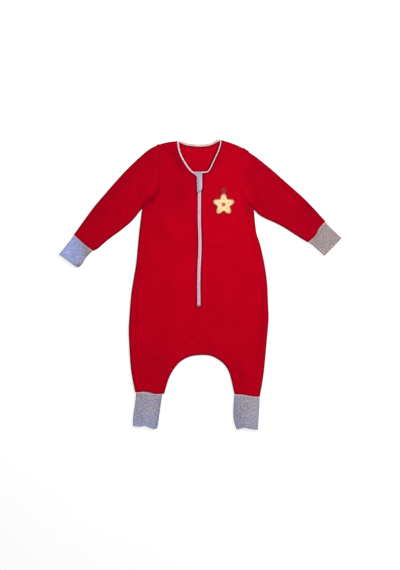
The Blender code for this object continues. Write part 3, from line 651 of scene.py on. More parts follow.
def addPiece(name, points, faces, turn=0.0):
    # its UV is its plan in metres, turned so that V follows the knit
    mesh = bpy.data.meshes.new(name)
    mesh.from_pydata((np.asarray(points) * mm).tolist(), [], faces)
    shape = bmesh.new()
    shape.from_mesh(mesh)
    bmesh.ops.recalc_face_normals(shape, faces=shape.faces)
    if shape.calc_volume(signed=True) < 0:
        bmesh.ops.reverse_faces(shape, faces=shape.faces)
    shape.to_mesh(mesh)
    shape.free()
    plan = np.asarray(points)[:, :2] * mm
    cos, sin = math.cos(turn), math.sin(turn)
    setUv(mesh, plan @ np.array([[cos, -sin], [sin, cos]]).T)
    piece = bpy.data.objects.new(name, mesh)
    scene.collection.objects.link(piece)
    smoothShade(piece)
    return piece


def setUv(mesh, places):
    layer = mesh.uv_layers.get("cloth") or mesh.uv_layers.new(name="cloth")
    loops = np.empty(len(mesh.loops), dtype=np.int32)
    mesh.loops.foreach_get("vertex_index", loops)
    layer.data.foreach_set("uv", np.asarray(places, dtype=np.float32)[loops].ravel())


def setWallUv(piece, places):  # the same for the outer and the inner points of a wall
    flat = places.reshape(-1, 2) * mm
    setUv(piece.data, np.vstack([flat, flat]))


def uvGrid(across, along):  # places on the cloth for a grid's rows and columns
    return np.stack(np.broadcast_arrays(across, along[:, None]), axis=2)


def setValues(piece, name, values):  # a number for each point, which a finish reads
    layer = piece.data.attributes.new(name, "FLOAT", "POINT")
    layer.data.foreach_set("value", np.asarray(values, dtype=np.float32))


patch = {
    "centre": (62.6, 216.0),
    "radius": 24.0,
    "points": 5,
    "pointDepth": 0.24,
    "gap": 0.3,  # over the jersey
    "thickness": 0.9,
    "dome": 0.5,
    "borderWidth": 2.5,
    "borderHeight": 1.5,
    "ridge": 0.62,  # spacing of the border's threads
    "icingShare": 0.68,
    "icingWaves": 20,
    "icingSwing": 1.3,
    "icingRadius": 0.75,
    "buttonRadius": 5.0,
    "buttonHeight": 1.5,
    "buttonRim": 1.3,
    "buttonStep": (0.35, 0.45),  # down to the dish: how far in and how deep
    "buttonDish": (1.6, 0.1),
    "buttonBars": (0.75, 3.2),  # of thread: how far from the middle, and their length
    "buttonSink": 0.42,
    "loopHigh": 15.0,
    "loopWide": 5.8,
    "ribbon": 3.2,
    "ribbonBed": (0.3, 0.85),  # of its two sides over the jersey
    "ribbonLap": 0.55,  # how much higher its second end lies
    "ribbonRoll": 0.18,  # of its edges
    "flat": (0.0566, 0.0548),
    "area": 0.00186,
}


def starLine(share, count, inset=0.0):
    turns, spokes = circle(count)
    radius = patch["radius"] * (1 + patch["pointDepth"] * np.cos(patch["points"] * (turns - math.pi / 2)))
    return patch["centre"] + spokes * (radius * share - inset)[:, None]


lines["leftStar"] = starLine(1.0, 161)

# Painted shade beside these lines, where the zip, bindings, tab, star, hems and armhole seams meet the red:
# line, start, reach and depth.
shadeBesideFront = [
    ("Zip", 1.8, 2.2, 0.85), ("Neck", 3.7, 3.0, 0.92), ("Armhole", 0.0, 1.2, 0.10),
    ("Wrist", 0.4, 4.2, 0.90), ("Ankle", 0.4, 4.0, 0.88), ("Tab", 2.2, 2.6, 0.90),
    ("Star", 0.4, 2.0, 0.75),
]
shadeBesideBack = [("Inside", 3.4, 4.2, 0.90), ("Wrist", 0.4, 2.4, 0.75),
               ("Ankle", 0.4, 2.4, 0.75), ("Armhole", 0.0, 1.2, 0.12)]
shadeInNeck = [("Neck", 2.9, 3.6, 0.85)]  # painted shade only on the side that shows in the neck
# Painted shade at the free edges, where the cloth rolls under, and in creases that lie low.
edgeShade = {
    "start": 1.4,
    "reach": 2.3,
    "depth": 0.90,
    "rim": 0.50,  # of that depth, right at the edge
    "hollow": 0.10,  # painted shade for each millimetre that a crease lies low
    "hollowFrom": 0.5,
    "hollowMost": 2.2,
    "hollowInside": 6.0,  # only this far inside a free edge
    "hollowLowest": 2.6,
}
lines["leftInside"] = lines["backNeck"]

# Painted shade in each piece's red: a floor under the front that painted light can lift, the back darker
# because its inside lies in shade where it shows in the neck, and the sleeves darker partly for their nap and
# partly as painted shade where the light falls off.
napAndShadeTones = {
    "blend": 28.0,  # over which the armpit's tone fades in
    "front": 0.11,
    "back": 0.18,
    "rightSleeve": {"from": 114.0, "over": 30.0, "slope": 0.87, "armpit": (157.0, 180.0), "more": 0.13},
    "leftSleeve": {"from": 104.0, "over": 44.0, "slope": 0.60, "armpit": (144.0, 172.0), "more": 0.20},
}


# painted shade and painted light over the red, with the sleeves' nap
def napAndShadeAt(plan):
    tone = napAndShadeTones["front"] + foldsAt(plan, frontShadeAndLight)
    for side, out in sides.items():
        sizes = napAndShadeTones[side + "Sleeve"]
        far = out * plan[:, 0]
        share = np.clip((far - sizes["from"]) / sizes["over"], 0.0, 1.0)
        beyond, level = sizes["armpit"]
        above = plan[:, 1] + sizes["slope"] * np.maximum(far - beyond, 0.0) - level
        above = np.clip(above / napAndShadeTones["blend"], 0.0, 1.0)
        tone += sizes["more"] * share**2 * (3.0 - 2.0 * share) * above
    return tone


# painted shade, darkest beside each line and dying away from it
def paintedShadeBeside(plan, shadeLines):
    shade = np.zeros(len(plan))
    for name, start, reach, depth in shadeLines:
        for side in sides:
            if side + name not in lines:
                continue
            line = lines[side + name]
            far = start + 5 * reach
            near = ((plan > line.min(axis=0) - far) & (plan < line.max(axis=0) + far)).all(axis=1)
            if near.any():
                gap = nearestOn(plan[near], line)[0]
                shadeHere = depth * np.exp(-np.maximum(gap - start, 0.0) / reach)
                shade[near] = np.maximum(shade[near], shadeHere)
    return shade


def paintShade(piece, shadeLines, level=None):  # paints the shade value: painted shade beside lines, at free edges and in low creases; level is the front's own height
    # a wall's outer points come first, then as many inner ones
    points = np.array([vertex.co for vertex in piece.data.vertices]) / mm
    points = points[: len(points) // 2]
    plan = points[:, :2]
    shade = paintedShadeBeside(plan, shadeLines)
    distance = freeDistance(plan)[0]
    edge = np.maximum(distance - edgeShade["start"], 0.0) / edgeShade["reach"]
    inward = np.clip(distance / edgeShade["start"], 0.0, 1.0)
    rim = edgeShade["rim"] + (1.0 - edgeShade["rim"]) * inward
    shade = np.maximum(shade, edgeShade["depth"] * np.exp(-edge) * rim)
    if level is not None:
        # painted shade in creases that lie low
        low = level + pillowAt(distance) - edgeShade["hollowFrom"] - points[:, 2]
        low = np.clip(low, 0.0, edgeShade["hollowMost"]) * (distance > edgeShade["hollowInside"])
        above = points[:, 2] > level - edgeShade["hollowLowest"]
        shade = np.maximum(shade, low * edgeShade["hollow"] * above)
        # painted shade and painted light of the front and the sleeves
        shade = within = np.maximum(shade, napAndShadeAt(plan))
    else:
        # the back painted darker, as its inside lies in shade where it shows in the neck
        shade = np.maximum(shade, napAndShadeTones["back"])
        within = np.maximum(shade, paintedShadeBeside(plan, shadeInNeck))
    setValues(piece, "shade", np.concatenate([shade, within]))


def smoothShade(piece, angle=50.0):
    piece.data.shade_smooth()
    piece.data.set_sharp_from_angle(angle=math.radians(angle))


def report(stage, pieces):  # the faces of each of its pieces
    print(f"{stage}:", [len(piece.data.polygons) for piece in pieces])


def settle(piece, look, slot, *nodes):  # rides, replaces and gets its finish
    piece.data.materials.clear()
    piece.data.materials.append(look.material)
    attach(piece, "root")
    if nodes:
        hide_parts(*nodes)
    return piece


def shaderSum(operation, swapped=False):
    return lambda self, other: self.maths(operation, other, swapped)


class Val:  # a shader socket that takes part in sums
    def __init__(self, look, socket):
        self.look = look
        self.socket = socket

    def maths(self, operation, other=0.0, swapped=False):
        pair = {0: other, 1: self} if swapped else {0: self, 1: other}
        return self.look.node("ShaderNodeMath", {"operation": operation}, pair)

    __add__, __radd__ = shaderSum("ADD"), shaderSum("ADD", True)
    __sub__, __rsub__ = shaderSum("SUBTRACT"), shaderSum("SUBTRACT", True)
    __mul__, __rmul__ = shaderSum("MULTIPLY"), shaderSum("MULTIPLY", True)
    __truediv__ = shaderSum("DIVIDE")

    def __abs__(self):
        return self.maths("ABSOLUTE")

    def clamped(self):
        self.socket.node.use_clamp = True
        return self


class Look:  # a material and the nodes that make it
    def __init__(self, name, **fixed):
        self.material = bpy.data.materials.new(name)
        self.material.use_nodes = True
        self.tree = self.material.node_tree
        self.shader = self.tree.nodes["Principled BSDF"]
        for socket, value in fixed.items():
            self.shader.inputs[socket.replace("_", " ")].default_value = value

    def feed(self, socket, value):
        if isinstance(value, Val):
            self.tree.links.new(value.socket, socket)
        else:
            socket.default_value = value

    def node(self, kind, settings=None, sockets=None, output=0):
        made = self.tree.nodes.new(kind)
        for key, value in (settings or {}).items():
            if key == "stops":
                ramp = made.color_ramp
                while len(ramp.elements) < len(value):
                    ramp.elements.new(1.0)
                for element, (place, colour) in zip(ramp.elements, value):
                    element.position = place
                    element.color = (*colour, 1.0)
            else:
                setattr(made, key, value)
        for key, value in (sockets or {}).items():
            self.feed(made.inputs[key], value)
        return Val(self, made.outputs[output])

    def value(self, name):  # what setValues gave the piece
        return self.node("ShaderNodeAttribute", {"attribute_name": name}, output=2)

    def uv(self):
        return self.node("ShaderNodeUVMap", {"uv_map": "cloth"})

    def place(self):
        return self.node("ShaderNodeTexCoord", output=3)

    def split(self, vector):
        made = self.node("ShaderNodeSeparateXYZ", sockets={0: vector})
        outputs = made.socket.node.outputs
        return Val(self, outputs[0]), Val(self, outputs[1]), Val(self, outputs[2])

    def stretch(self, vector, scale):
        return self.node("ShaderNodeMapping", sockets={"Vector": vector, "Scale": scale})

    def cloud(self, vector, size, detail=2.0, roughness=0.5):  # noise with features this wide
        sockets = {"Vector": vector, "Scale": 1.0 / size, "Detail": detail, "Roughness": roughness}
        return self.node("ShaderNodeTexNoise", sockets=sockets)

    def ramp(self, value, *stops):
        return self.node("ShaderNodeValToRGB", {"stops": stops}, {0: value})

    def blend(self, factor, first, second):
        settings = {"data_type": "RGBA"}
        colours = [(*c, 1.0) if isinstance(c, tuple) else c for c in (first, second)]
        return self.node("ShaderNodeMix", settings, {0: factor, 6: colours[0], 7: colours[1]}, 2)

    def relief(self, height, distance, strength=1.0):  # distance in metres
        sockets = {"Height": height, "Distance": distance, "Strength": strength}
        self.feed(self.shader.inputs["Normal"], self.node("ShaderNodeBump", sockets=sockets))

    def colour(self, value):
        self.feed(self.shader.inputs["Base Color"], value)

    def rough(self, value):
        self.feed(self.shader.inputs["Roughness"], value)


def knitHeight(look, wale, course):
    # rows of V-shaped loops: two legs to a wale, each leaning outwards
    slant = 0.7
    u, v, _ = look.split(look.uv())
    across = abs((u / (wale * mm)).maths("FRACT") - 0.5) * 2.0
    leg = 1.0 - abs(across - 0.5) * 2.0
    turn = (v / (course * mm) + across * slant) * (2.0 * math.pi)
    loop = turn.maths("COSINE") * 0.5 + 0.5
    return leg.maths("POWER", 0.6) * (loop * 0.55 + 0.45)


def jerseyLook(name, dark, bright):
    look = Look(name, Specular_IOR_Level=0.01)
    knit = knitHeight(look, 1.25, 1.0)
    slow = look.cloud(look.uv(), 0.055, 3.0)
    fibre = look.cloud(look.stretch(look.uv(), (1.0, 0.35, 1.0)), 0.0009, 2.0, 0.65)
    tone = slow * 0.45 + fibre * 0.25 + knit * 0.30
    body = look.ramp(tone, (0.28, dark), (0.74, bright))
    # the shade value paints shade into the red, towards a dark red
    look.colour(look.blend(look.value("shade"), body, (0.080, 0.0, 0.006)))
    look.rough(0.80 + fibre * 0.15)
    look.relief(knit * 0.7 + fibre * 0.5, 0.00022, 0.55)
    return look


redJersey = jerseyLook("redJersey", (0.335, 0.0, 0.0066), (0.445, 0.0002, 0.0100))


def rowShares(widths):  # places across each row of a grid, close at both its edges
    count = int((widths.max() - 2 * nearEdge[-1]) / lay["step"])
    even = np.linspace(0.0, 1.0, count + 1)[1:-1]
    for width in widths:
        between = nearEdge[-1] + (width - 2 * nearEdge[-1]) * even
        yield np.concatenate([nearEdge, between, width - nearEdge[::-1]]) / width


def clothGrid(plan, front=True):  # outer and inner points over a grid of the plan
    flat = followHems(plan.reshape(-1, 2))
    return [layer.reshape(*plan.shape[:2], 3) for layer in clothPoints(flat, front)]


def cutLine(line, *levels):  # a line in parts, cut at these heights of the plan
    along = runLengths(line)
    order = np.argsort(line[:, 1])
    marks = [0.0, *np.interp(levels, line[order, 1], along[order]), along[-1]]
    parts = []
    for a, b in zip(marks, marks[1:]):
        inside = along[(along > a + 0.01) & (along < b - 0.01)]
        parts.append(atShares(line, np.array([a, *inside, b]) / along[-1]))
    return parts


rowPlan = {
    "armholeToNeck": 269.0,  # the armhole's level beside the top of the zip
    "zipToArmpit": 178.0,
    "sideToZipEnd": -20.0,
    "sideToCrotch": -140.0,
}


def bodyGrid(side, middle, front):
    # rows from the armhole and side to the parts of the middle line, and then to the arch
    outside = cutLine(lines[side + "Armhole"], rowPlan["armholeToNeck"])
    outside += cutLine(lines[side + "Side"], rowPlan["sideToZipEnd"], rowPlan["sideToCrotch"])
    closeAt = ((True, False), (False, False), (False, False), (False, True), (False, True))
    outer, inner = [], []
    for one, two, (first, last) in zip(outside, [*middle, lines[side + "Arch"]], closeAt):
        longer = max(runLengths(one)[-1], runLengths(two)[-1])
        shares = ladder(longer, lay["step"], first, last)[1 if outer else 0:]
        outer.append(atShares(one, shares))
        inner.append(atShares(two, shares))
    outer, inner = np.vstack(outer), np.vstack(inner)
    widths = np.linalg.norm(inner - outer, axis=1)
    rows = zip(outer, inner, rowShares(widths))
    return clothGrid(np.array([a + (b - a) * shares[:, None] for a, b, shares in rows]), front)


def frontGrid(side):
    zipParts = cutLine(lines[side + "Zip"], rowPlan["zipToArmpit"])
    return bodyGrid(side, [lines[side + "NeckEdge"], *zipParts, lines[side + "Middle"]], True)


def backGrid(side):
    neckLine = lines["backNeck"] - normals(lines["backNeck"]) * (neck["backWidth"] / 2 - neck["tuck"])
    centre = int(np.abs(neckLine[:, 0]).argmin())
    neckLine[centre, 0] = 0.0
    half = neckLine[: centre + 1] if side == "right" else neckLine[centre:][::-1]
    half = np.vstack([lines[side + "NeckEdge"][:1], half])
    marks = [half[-1], (0.0, rowPlan["zipToArmpit"]), (0.0, zipFit["end"]), outlines["middle"][-1]]
    return bodyGrid(side, [half, *map(np.array, zip(marks, marks[1:]))], False)


def pullBack(grid):  # the last row moved back from its seam
    for layer in grid:
        step = layer[-2] - layer[-1]
        layer[-1] += step / np.linalg.norm(step, axis=1)[:, None] * (lay["seamGap"] / 2)
    return grid


fronts = {
    "right": {"flat": (0.215, 0.705), "area": 0.103},
    "left": {"flat": (0.205, 0.710), "area": 0.100},
}
frontPieces = []
for side, sizes in fronts.items():
    piece = wallMesh(f"{side}Front", [pullBack(frontGrid(side))])
    settle(piece, redJersey, "red_jersey", f"front_{side}")
    paintShade(piece, shadeBesideFront, lay["front"])
    frontPieces.append(piece)
report("fronts", frontPieces)

backPiece = wallMesh("backPanel", [pullBack(backGrid(side)) for side in sides])
settle(backPiece, redJersey, "red_jersey", "back")
paintShade(backPiece, shadeBesideBack)
report("back", [backPiece])

sleeves = {
    "right": {"flat": (0.350, 0.275), "area": 0.063},
    "left": {"flat": (0.330, 0.270), "area": 0.058},
    "armholeFade": 0.30,  # share of the sleeve over which its head turns into straight rows
}


def sleeveGrid(side):
    # straight rows from the top edge to the one under the arm, bent to the armhole at its head
    edges = np.hstack([outlines[side + "SleeveTop"], outlines[side + "SleeveUnder"]])
    pair = smoothLine(edges, 4.0)
    marks = ladder(runLengths(pair[:, :2])[-1], lay["step"])
    rows = atShares(pair, marks)
    hole = lines[side + "Armhole"]
    hole = hole + normals(hole) * sides[side] * lay["seamGap"] / 2
    widths = np.linalg.norm(rows[:, 2:] - rows[:, :2], axis=1)
    plan = []
    for row, mark, shares in zip(rows, marks, rowShares(widths)):
        straight = row[:2] + (row[2:] - row[:2]) * shares[:, None]
        first = rows[0, :2] + (rows[0, 2:] - rows[0, :2]) * shares[:, None]
        fade = (1.0 - min(mark / sleeves["armholeFade"], 1.0)) ** 2
        plan.append(straight + (atShares(hole, shares) - first) * fade)
    plan = np.array(plan)
    layers = []
    for top, bottom in zip(clothGrid(plan), clothGrid(plan, False)):
        for column in (0, -1):
            top[:, column] = (top[:, column] + bottom[:, column]) / 2
        layers.append(np.concatenate([top, bottom[:, -2:0:-1], top[:, :1]], axis=1))
    return layers


sleevePieces = []
for side in sides:
    run = lines[side + "SleeveTop"][-1] - lines[side + "SleeveTop"][0]
    turn = math.pi / 2 - math.atan2(run[1], run[0])
    piece = wallMesh(f"{side}Sleeve", [pullBack(sleeveGrid(side))], turn)
    settle(piece, redJersey, "red_jersey", f"sleeve_{side}")
    paintShade(piece, [row for row in shadeBesideFront if row[0] in ("Armhole", "Wrist")], lay["front"])
    sizes = sleeves[side]
    sleevePieces.append(piece)
report("sleeves", sleevePieces)

cuffShape = {
    "height": 6.2,
    "roll": 4.5,  # width of the rounded side folds
    "wall": 2.6,  # two layers of rib
    "rib": 2.35,  # pitch of the ribs
    "depth": 0.36,
    "drawnIn": 0.4,  # of that depth, by the seam
    "drawnReach": 12.0,
    "perRib": 6,  # points round each rib
    "tuck": 0.9,  # how far its seamed edge goes in under the hem
    "seamDip": 1.3,
    "seamReach": 2.8,
    "step": 2.4,  # spacing of its rings
    "seamRings": [0.0, 0.4, 0.9, 1.5, 2.3, 3.4, 5.0],
    "evenFrom": 7.0,
    "shade": 0.12,
    "sideShade": (0.45, 1.6),  # how dark, and how far in
    "endShade": (0.35, 1.2),
    "creaseWidth": 2.4,
    "creaseEase": 4.0,  # over which a crease begins
    "creaseSide": (0.06, 3.0, 0.5),  # the swell beside it: how far off, how wide, how high
    "toneDrift": (14.0, 0.10),  # size and swing of the second tone's edge
    "glowReach": 9.0,  # of the painted red glow beside the seam, light thrown from the jersey
    "glow": 0.28,
    "joinWidth": 1.9,  # of the paler line of joining loops
    "joined": 0.6,
}
# Each cuff's tones and second tone paint one grey rib with the tint of the light that falls on it, bluer on
# some cuffs and warmer on others.
cuffs = {
    # first and second: both sides, from the seam to the end
    # end: how much further it reaches, at shares of its width
    # creases: share of the width, distance from the seam and depth
    # other: weights across and along for the second tone, a tint of coloured light painted into the rib,
    # where it begins and where it is full
    # shades: painted shade where the rib lies darker, and with a minus painted light
    "wristRight": {
        "node": "wrist_cuff_right",
        "hem": "rightWrist",
        "first": [(-341.4, 133.8), (-357.0, 112.6), (-371.0, 95.4), (-382.2, 81.6)],
        "second": [(-290.2, 91.3), (-303.2, 79.0), (-311.6, 68.6), (-320.0, 54.4), (-330.0, 43.6)],
        "end": [(0.0, 0.0), (0.82, 0.0), (0.93, -0.8), (1.0, -4.5)],
        "creases": [(0.80, 10.0, 0.9)],
        "flat": (0.140, 0.078),
        "tones": [(0.132, 0.163, 0.335), (0.276, 0.321, 0.570), (0.464, 0.529, 0.830)],
        "otherTones": [(0.113, 0.101, 0.124), (0.253, 0.225, 0.264), (0.405, 0.371, 0.427)],
        "other": [(1.0, -0.5, 0.25, 0.75), (1.0, 0.0, 0.76, 0.98), (1.0, 0.35, 1.02, 1.25)],
        "shades": [
            ([(-336, 132), (-312, 113), (-288, 92)], 11, 11, 0.20),
            ([(-366, 108), (-364, 92), (-352, 74)], 10, 10, -0.13),
            ([(-340, 62), (-326, 65), (-312, 80)], 9, 9, -0.18),
            ([(-290, 96), (-301, 82), (-316, 62)], 5, 5, 0.20),
            ([(-348, 58), (-333, 49), (-319, 58)], 7, 7, 0.27),
        ],
    },
    "wristLeft": {
        "node": "wrist_cuff_left",
        "hem": "leftWrist",
        "first": [(337.0, 169.4), (352.4, 153.0), (367.8, 138.8), (382.2, 125.4)],
        "second": [(291.3, 114.9), (305.6, 104.0), (320.6, 90.8), (335.4, 77.8)],
        "end": [(0.0, 0.0), (1.0, 0.0)],
        "creases": [(0.90, 22.0, 1.0)],
        "flat": (0.146, 0.074),
        "tones": [(0.135, 0.110, 0.109), (0.268, 0.222, 0.221), (0.439, 0.380, 0.373)],
        "otherTones": [(0.169, 0.118, 0.129), (0.337, 0.253, 0.270), (0.518, 0.422, 0.439)],
        "other": [(1.0, 0.0, 0.80, 0.95)],
        "shades": [
            ([(340, 172), (318, 140), (288, 112)], 9, 9, 0.17),
            ([(294, 112), (312, 97), (336, 77)], 5, 5, 0.10),
            ([(338, 169), (360, 147), (383, 125)], 4, 4, 0.13),
        ],
    },
    "ankleRight": {
        "node": "ankle_cuff_right",
        "hem": "rightAnkle",
        "first": [(-173.8, -291.2), (-176.0, -315.5), (-181.5, -356.0), (-182.6, -382.2)],
        "second": [(-102.6, -294.9), (-105.3, -314.7), (-110.4, -350.0), (-115.0, -387.6)],
        "end": [(0.0, -0.5), (0.1, 0.5), (0.3, 0.0), (0.5, -3.6), (0.66, 0.6), (0.82, 3.2),
                (0.92, 2.6), (0.97, 0.4), (1.0, -3.5)],
        "creases": [(0.30, 60.0, 1.2), (0.62, 66.0, 0.9)],
        "flat": (0.150, 0.098),
        "tones": [(0.141, 0.133, 0.169), (0.287, 0.270, 0.343), (0.484, 0.461, 0.562)],
        "otherTones": [(0.129, 0.137, 0.259), (0.264, 0.276, 0.450), (0.427, 0.439, 0.641)],
        "other": [(0.1, 1.0, 0.56, 1.10)],
        "shades": [
            ([(-102, -290), (-107, -336), (-115, -388)], 5, 5, 0.28),
            ([(-133, -306), (-136, -345), (-144, -380)], 12, 12, -0.12),
            ([(-171, -290), (-169, -312), (-168, -336)], 8, 8, 0.07),
            ([(-184, -362), (-170, -374), (-154, -386)], 8, 8, -0.10),
            ([(-150, -298), (-134, -298), (-118, -299)], 5, 5, -0.10),
        ],
    },
    "ankleLeft": {
        "node": "ankle_cuff_left",
        "hem": "leftAnkle",
        "first": [(91.6, -295.6), (89.4, -325.0), (88.6, -347.4), (90.7, -369.2), (97.6, -390.6)],
        "second": [(160.4, -303.4), (159.2, -330.0), (157.4, -358.0), (155.4, -392.4)],
        "end": [(0.0, 0.4), (0.11, 0.0), (0.22, -2.5), (0.36, -4.6), (0.58, -2.9), (0.85, -0.9),
                (1.0, 0.0)],
        "creases": [(0.24, 20.0, 0.8), (0.36, 58.0, 0.9)],
        "flat": (0.146, 0.100),
        "tones": [(0.141, 0.126, 0.152), (0.287, 0.261, 0.309), (0.484, 0.450, 0.518)],
        "otherTones": [(0.126, 0.133, 0.247), (0.259, 0.264, 0.416), (0.416, 0.427, 0.608)],
        "other": [(1.0, 0.0, 0.30, 0.02), (0.0, 1.0, 0.35, 1.60)],
        "shades": [
            ([(92, -300), (97, -344), (104, -394)], 9, 9, 0.14),
            ([(136, -304), (142, -350), (138, -398)], 18, 18, -0.13),
            ([(156, -312), (155, -350), (152, -390)], 6, 6, -0.09),
            ([(108, -318), (110, -340), (110, -356)], 6, 6, 0.09),
            ([(100, -388), (124, -386), (152, -390)], 5, 5, 0.11),
        ],
    },
}


def ribLook(name, sizes):
    # melange rib: pale and dark fibres, a second tone of painted coloured light, painted shade, a painted red
    # glow and paler joining loops beside the seam
    look = Look(name, Specular_IOR_Level=0.12, Sheen_Weight=0.12, Sheen_Roughness=0.5)
    knit = knitHeight(look, cuffShape["rib"] / 2, 0.95)
    fibre = look.cloud(look.stretch(look.uv(), (1.0, 0.3, 1.0)), 0.0007, 3.0, 0.7)
    fleck = look.cloud(look.stretch(look.uv(), (1.0, 0.7, 1.0)), 0.0024, 2.0, 0.55)
    cluster = look.cloud(look.uv(), 0.0060, 2.0, 0.6)
    tone = fibre * 0.22 + fleck * 0.58 + cluster * 0.12 + knit * 0.08
    body, other = [look.ramp(tone, *zip((0.39, 0.50, 0.61), sizes[key])) for key in ("tones", "otherTones")]
    # the second tone: coloured light painted into the rib
    body = look.blend(look.value("other"), body, other)
    _, along, _ = look.split(look.uv())
    # a painted red glow beside the seam, as light thrown from the jersey
    glow = (1.0 - along / (cuffShape["glowReach"] * mm)).maths("MAXIMUM", 0.0)
    body = look.blend(glow * cuffShape["glow"], body, (0.60, 0.20, 0.23))
    joined = along.maths("LESS_THAN", cuffShape["joinWidth"] * mm)
    body = look.blend(joined * cuffShape["joined"], body, (0.78, 0.50, 0.54))
    # the shade value paints shade into the rib
    look.colour(look.blend(look.value("shade"), body, (0.035, 0.025, 0.04)))
    look.rough(0.82 + fibre * 0.12)
    look.relief(knit * 0.7 + fibre * 0.6, 0.00025, 0.6)
    return look


def cuffSection(half, depth, count):
    # points and outward normals round the flattened tube, this deep into its wall
    high = cuffShape["height"] / 2 - depth
    roll = max(cuffShape["roll"] - depth, 1.4)
    wide = half - depth
    turns = np.linspace(0.0, math.pi / 2, 16)
    side = np.stack([wide - roll + roll * np.cos(turns), high * np.sin(turns)], axis=1)
    top = np.vstack([side, side[::-1] * (-1.0, 1.0)])
    loop = np.vstack([top, top[::-1][1:-1] * (1.0, -1.0), top[:1]])
    points = atShares(loop, np.arange(count) / count)
    return points, outwards(points)


def ringMesh(name, rings, places):
    # a closed skin of rings, whose last ring meets the first
    rows, count = rings.shape[:2]
    index = np.arange(rows * count).reshape(rows, count)
    after, beside = np.roll(index, -1, axis=0), np.roll(index, -1, axis=1)
    far = np.roll(after, -1, axis=1)
    faces = np.stack([index.ravel(), beside.ravel(), far.ravel(), after.ravel()], axis=1)
    piece = addPiece(name, rings.reshape(-1, 3), faces.tolist())
    setUv(piece.data, places.reshape(-1, 2) * mm)
    return piece


def cuffStations(long):
    # how far along and how deep in the wall each ring is: out over the top of the wall,
    # round the end and back inside
    wall = cuffShape["wall"]
    even = np.linspace(cuffShape["evenFrom"], long - wall / 2,
                       int((long - cuffShape["evenFrom"]) / cuffShape["step"]))
    outward = np.concatenate([np.array(cuffShape["seamRings"]) - cuffShape["tuck"], even])
    stations = [(s, 0.0) for s in outward]
    for turn in np.linspace(0.0, math.pi, 8)[1:]:
        s = long - wall / 2 + wall / 2 * math.sin(turn)
        stations.append((s, wall / 2 * (1.0 - math.cos(turn))))
    return stations + [(s, wall) for s in outward[-5::-4]]


def cuffCreases(sizes, s, share, width):  # how far the creases sink, or their sides rise
    soft = 0.0
    beside, wide, high = cuffShape["creaseSide"]
    for place, fromSeam, drop in sizes["creases"]:
        path = place + wander([(s, 0.0)], 40.0, place * 9.0)[0] * 0.02
        fade = drop / (1.0 + math.exp((fromSeam - s) / cuffShape["creaseEase"]))
        across = (share - path) * width
        soft = soft - fade * np.exp(-(across / cuffShape["creaseWidth"]) ** 2)
        across = (share - path - beside) * width
        soft = soft + high * fade * np.exp(-(across / wide) ** 2)
    return soft


def cuffRow(pair, share):  # its two sides this far along, and the way it runs there
    one, two = np.split(atShares(pair, [share])[0], 2)
    ahead = atShares(pair, [min(share + 0.05, 1.0)])[0] - atShares(pair, [share - 0.05])[0]
    ahead = ahead[:2] + ahead[2:]
    return one, two, ahead / np.linalg.norm(ahead)


def otherTone(sizes, plan, share, along):  # how much of the second tone, the painted tint of the light, shows
    size, swing = cuffShape["toneDrift"]
    other = np.zeros(len(plan))
    for crosswise, lengthwise, beginAt, fullAt in sizes["other"]:
        run = crosswise * share + lengthwise * along + wander(plan, size, 3.3) * swing
        other = np.maximum(other, np.clip((run - beginAt) / (fullAt - beginAt), 0.0, 1.0))
    return other


def cuffShade(sizes, plan, side, ends):  # painted shade at its side folds, where the rib rolls under, and at both its ends
    dark, reach = cuffShape["sideShade"]
    endDark, endReach = cuffShape["endShade"]
    edge = np.maximum(dark * np.exp(-side / reach), endDark * np.exp(-ends / endReach))
    return np.maximum(edge, cuffShape["shade"] + foldsAt(plan, sizes["shades"]))


